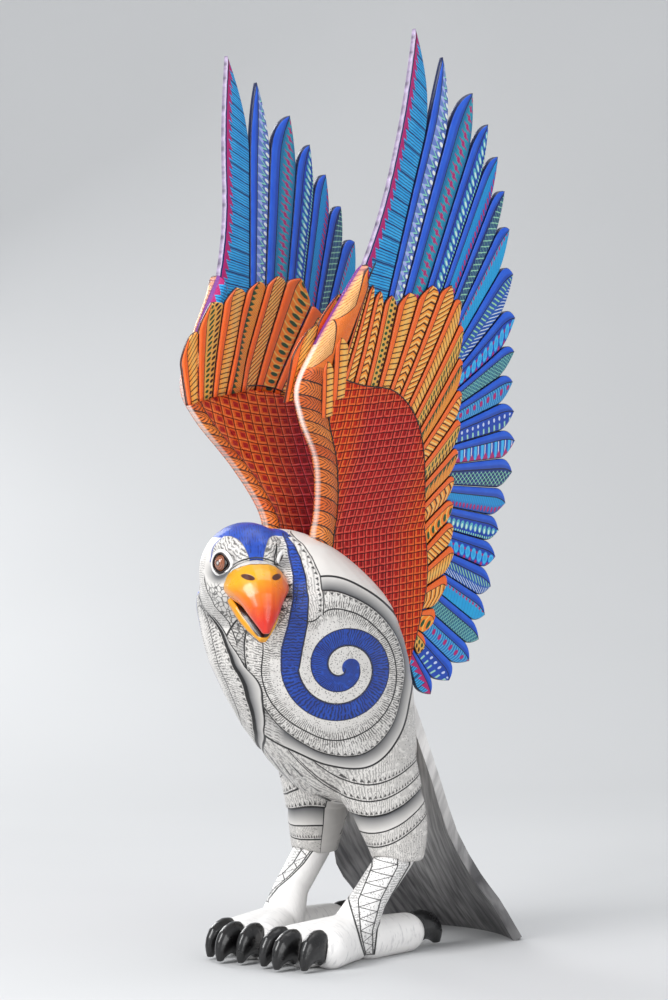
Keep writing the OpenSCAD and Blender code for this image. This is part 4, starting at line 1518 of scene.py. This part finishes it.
def make_body():
    nodes = ["torso", "head", "left_thigh", "right_thigh"]
    points, faces, normals = joined_shape(nodes, BODY_VOXEL, 12)
    away = np.linalg.norm(on_head(points), axis=1)
    points = soften(points, faces, ease(38, 44, away) * ease(66, 52, away), 60)
    fields = body_fields(points)
    points = carve(points, normals, fields)
    piece = make_piece("painted_body", "root", points, faces, [body_paint()], fields=fields)
    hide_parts(*nodes)


def nearest(points, others):
    """Distance from each point to the nearest of the others."""
    tree = KDTree(len(others))
    for k, point in enumerate(others):
        tree.insert(point, k)
    tree.balance()
    return np.array([tree.find(point)[2] for point in points])


def make_beak():
    paint = beak_paint()
    front_view = np.array([1, 0, 1])
    upper_front = None
    for node in ("upper_beak", "lower_beak"):
        points, faces, _ = joined_shape([node], 0.8, 6)
        place = on_head(points)
        side = np.sign(place[:, 0])
        reach = np.abs(place[:, 0])
        # both halves are widest at the corner of the mouth
        if node == "upper_beak":
            upper_front = place * front_view
            gap = np.full(len(points), 20.0)
            corner = ease(10, 20, reach) * np.exp(-((place[:, 2] + 14) / 7) ** 2)
            place[:, 0] += side * 2.2 * corner
        else:
            gap = nearest(place * front_view, upper_front)
            corner = ease(11, 18, reach) * ease(-38, -26, place[:, 2])
            place[:, 0] += side * 1.8 * corner
            place[:, 2] += 4.5 * corner
        points = off_head(place)
        lower = np.full(len(points), 1.0 if node == "lower_beak" else 0.0)
        fields = {"head": place, "mouth": np.stack([lower, gap, gap], axis=1)}
        piece = make_piece(node + "_painted", "root", points, faces, [paint], fields=fields)
        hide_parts(node)


EYE_ROWS = 26
EYE_COLUMNS = 40
EYE_CAP = math.radians(150)     # how far back from its front the eyeball goes
LID_STEPS = 60


def eye_paint():
    """Brown iris in rings round a pale pupil, with a black and a white rim."""
    p = Paint("eye_rings", roughness=0.12, coat=0.8, specular=0.6)
    across, up, depth = p.vector("eye")
    where = p.join(across, up, depth)
    far = (across / 0.86 * (across / 0.86) + up / 1.05 * (up / 1.05)).root()
    cloud = p.noise(where, 1.6, 2)
    spokes = p.noise(p.join(up.do("ARCTAN2", across) * 9, far * 0.6), 1.2, 2)
    ring = (far + (cloud - 0.5) * 0.35).repeat(1.55).line(0, 0.5, 0.18)
    colour = p.mix(spokes, tint("#8a4a2c"), tint("#b87350"))
    colour = p.mix(ring * 0.8, colour, tint("#2c120a"))
    colour = p.mix(far.below(1.9, 0.2), colour, tint("#3a3331"))
    colour = p.mix(far.below(1.2, 0.2), colour, tint("#b9b4b0"))
    colour = p.mix(far.above(6.3, 0.2), colour, tint("#0a0808"))
    return p.finish(colour, cloud, 0.06)


def make_eyes(ink, white):
    paint = eye_paint()
    for side, sign in SIDES.items():
        centre = EYE_AT * [sign, 1, 1]
        axis = unit(np.array([0.8 * sign, -0.6, 0.04]))
        right = unit(np.cross([0, 0, 1], axis))
        up = np.cross(axis, right)
        points, eye = [], []
        for r in range(EYE_ROWS + 1):
            angle = r / EYE_ROWS * EYE_CAP
            bulge = EYE_RADIUS - 0.1 + 0.35 * float(ease(0.62, 0.2, angle)) - 0.3
            for c in range(EYE_COLUMNS):
                turn = 2 * math.pi * c / EYE_COLUMNS
                x, y = math.sin(angle) * math.cos(turn), math.sin(angle) * math.sin(turn)
                points.append(centre + bulge * (x * right + y * up + math.cos(angle) * axis))
                eye.append((x * EYE_RADIUS, y * EYE_RADIUS, angle))
        faces = []
        for r in range(EYE_ROWS):
            for c in range(EYE_COLUMNS):
                a, b = r * EYE_COLUMNS + c, r * EYE_COLUMNS + (c + 1) % EYE_COLUMNS
                near = (a, b) if r else (a,)
                faces.append((*near, b + EYE_COLUMNS, a + EYE_COLUMNS))
        faces.append(tuple(EYE_ROWS * EYE_COLUMNS + c for c in range(EYE_COLUMNS)))
        piece = make_piece(side + "_eye_painted", "root", off_head(np.array(points)), faces, [paint],
                           fields={"eye": np.array(eye)})
        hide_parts(side + "_eye")

        # lids: a black line inside a white rim, both drawn out towards the beak
        for name, wide, tall, radius, rise, material in (("_lid_line", 6.9, 7.7, 0.75, 5.2, ink),
                                                         ("_lid", 8.6, 9.4, 1.7, 3.6, white)):
            rim = []
            for k in range(LID_STEPS + 1):
                turn = 2 * math.pi * k / LID_STEPS
                toward = max(0.0, -sign * math.cos(turn)) ** 5 * 1.8
                x, y = (wide + toward) * math.cos(turn), tall * math.sin(turn) - toward * 0.5
                rim.append(centre + x * right + y * up + (rise - toward * 0.6) * axis)
            points, faces = bead(off_head(np.array(rim)), radius, 10)
            piece = make_piece(side + "_eye" + name, "root", points, faces, [material])


def foot_fields(points, side):
    x, y, z = points.T
    s = x * math.cos(VIEW_TURN) + y * math.sin(VIEW_TURN)
    near = x * math.sin(VIEW_TURN) - y * math.cos(VIEW_TURN)
    near = near - np.interp(z, SHANK_HEIGHTS, SHANK_NEAR[side]) + 4
    edges = [np.interp(z, STRAP_HEIGHTS[side], edge) for edge in STRAP_EDGES[side]]
    return {"strap": np.stack([s - edges[0], edges[1] - s, near], axis=1),
            "strap_inner": np.stack([s - edges[2], edges[3] - s, z - STRAP_END[side]], axis=1)}


def make_feet(black):
    white = foot_paint()
    for side in SIDES:
        node = side + "_foot"
        points, faces, _ = joined_shape([node], 1.4, 10)
        fields = foot_fields(points, side)
        piece = make_piece(node + "_painted", "root", points, faces, [white], fields=fields)
        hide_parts(node)
        for toe in ("inner", "middle", "outer", "rear"):
            node = f"{side}_{toe}_claw"
            points, faces, _ = joined_shape([node], 0.8, 8)
            piece = make_piece(node + "_painted", "root", points, faces, [black])
            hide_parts(node)


# ---- stage, light and camera ---------------------------------------------------------------

FLOOR_NEAR = -3.0      # metres along the view from the figure, nearest and where the floor curves up
FLOOR_FAR = 1.2
FLOOR_CURVE = 1.6
FLOOR_STEPS = 24
WALL_TOP = 5.0
FLOOR_REACH = 5
LIGHT_TARGET = (0, 0, 0.38)
LIGHTS = [("key", (-0.2, -2.2, 1.7), (1.2, 1.6), 60),      # place, size in metres and watts
          ("fill", (2.6, -0.9, 1.0), (1.6, 2.0), 25),
          ("rim", (-2.2, 0.6, 1.4), (0.6, 1.8), 24),
          ("top", (0.2, 0.4, 2.6), (1.6, 1.6), 17)]
SKY_COLOUR = (0.80, 0.82, 0.85, 1)
SKY_STRENGTH = 0.62
CAMERA_PLACE = (1.497, -1.7407, 0.375)
CAMERA_LENS = 99
WOOD_NODES = ("tail_dowels", "neck_dowel", "left_hip_dowel", "right_hip_dowel", "left_ankle_dowel",
              "right_ankle_dowel")


def make_stage():
    """Pale floor that curves up into a backdrop behind the figure."""
    profile = [(FLOOR_NEAR, 0.0), (FLOOR_FAR, 0.0)]
    for k in range(1, FLOOR_STEPS + 1):
        turn = k / FLOOR_STEPS * math.pi / 2
        profile.append((FLOOR_FAR + FLOOR_CURVE * math.sin(turn), FLOOR_CURVE
                        - FLOOR_CURVE * math.cos(turn)))
    profile.append((FLOOR_FAR + FLOOR_CURVE, WALL_TOP))
    away = Vector((-math.sin(VIEW_TURN), math.cos(VIEW_TURN), 0))
    side = Vector((math.cos(VIEW_TURN), math.sin(VIEW_TURN), 0))
    points, faces = [], []
    for run, height in profile:
        for reach in (-FLOOR_REACH, FLOOR_REACH):
            points.append(tuple(away * run + side * reach + Vector((0, 0, height))))
    for k in range(len(profile) - 1):
        faces.append((2 * k, 2 * k + 1, 2 * k + 3, 2 * k + 2))
    floor = bpy.data.meshes.new("floor")
    floor.from_pydata(points, [], faces)
    p = Paint("floor", roughness=0.8, specular=0.2)
    x, y, z = p.place()
    cloud = p.noise(p.join(x, y, z), 600, 2)
    floor.materials.append(p.finish(p.mix(cloud, tint("#c6c7c8"), tint("#cecfd0")), cloud, 0.1))
    floor.polygons.foreach_set("use_smooth", [True] * len(floor.polygons))
    made = bpy.data.objects.new("floor", floor)
    bpy.context.scene.collection.objects.link(made)


def area_light(name, place, target, size, power):
    light = bpy.data.lights.new(name, "AREA")
    light.shape = "RECTANGLE"
    light.size, light.size_y = size
    light.energy = power
    made = bpy.data.objects.new(name, light)
    made.location = place
    made.rotation_euler = (Vector(target) - Vector(place)).to_track_quat("-Z", "Y").to_euler()
    bpy.context.scene.collection.objects.link(made)


def make_lights():
    for name, place, size, power in LIGHTS:
        area_light(name, place, LIGHT_TARGET, size, power)
    world = bpy.data.worlds.new("studio")
    world.use_nodes = True
    background = world.node_tree.nodes["Background"].inputs
    background["Color"].default_value = SKY_COLOUR
    background["Strength"].default_value = SKY_STRENGTH
    bpy.context.scene.world = world
    bpy.context.scene.view_settings.view_transform = "Standard"


def make_camera():
    camera = bpy.data.cameras.new("camera")
    camera.lens = CAMERA_LENS
    camera.sensor_width = 36
    camera.clip_end = 50
    made = bpy.data.objects.new("camera", camera)
    made.location = CAMERA_PLACE
    made.rotation_euler = (math.radians(90), 0, VIEW_TURN)
    bpy.context.scene.collection.objects.link(made)
    bpy.context.scene.camera = made


def main():
    blue = [blue_paint(pattern) for pattern in BLUE_PATTERNS]
    first_blue = blue_paint(blue_rungs, first=True)
    gold = [gold_paint(pattern) for pattern in GOLD_PATTERNS]
    arm, arm_inner, ink = arm_paint(), arm_inner_paint(), ink_paint()
    for side in SIDES:
        make_wing(side, blue, first_blue, gold, arm, arm_inner, ink)
    make_body()
    make_beak()
    white, black, wood = white_paint(), claw_paint(), plain_wood()
    make_eyes(ink, white)
    make_feet(black)
    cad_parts["tail_fan"].material_slots[0].material = tail_paint()
    for node in WOOD_NODES:
        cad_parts[node].material_slots[0].material = wood
    make_stage()
    make_lights()
    make_camera()


main()
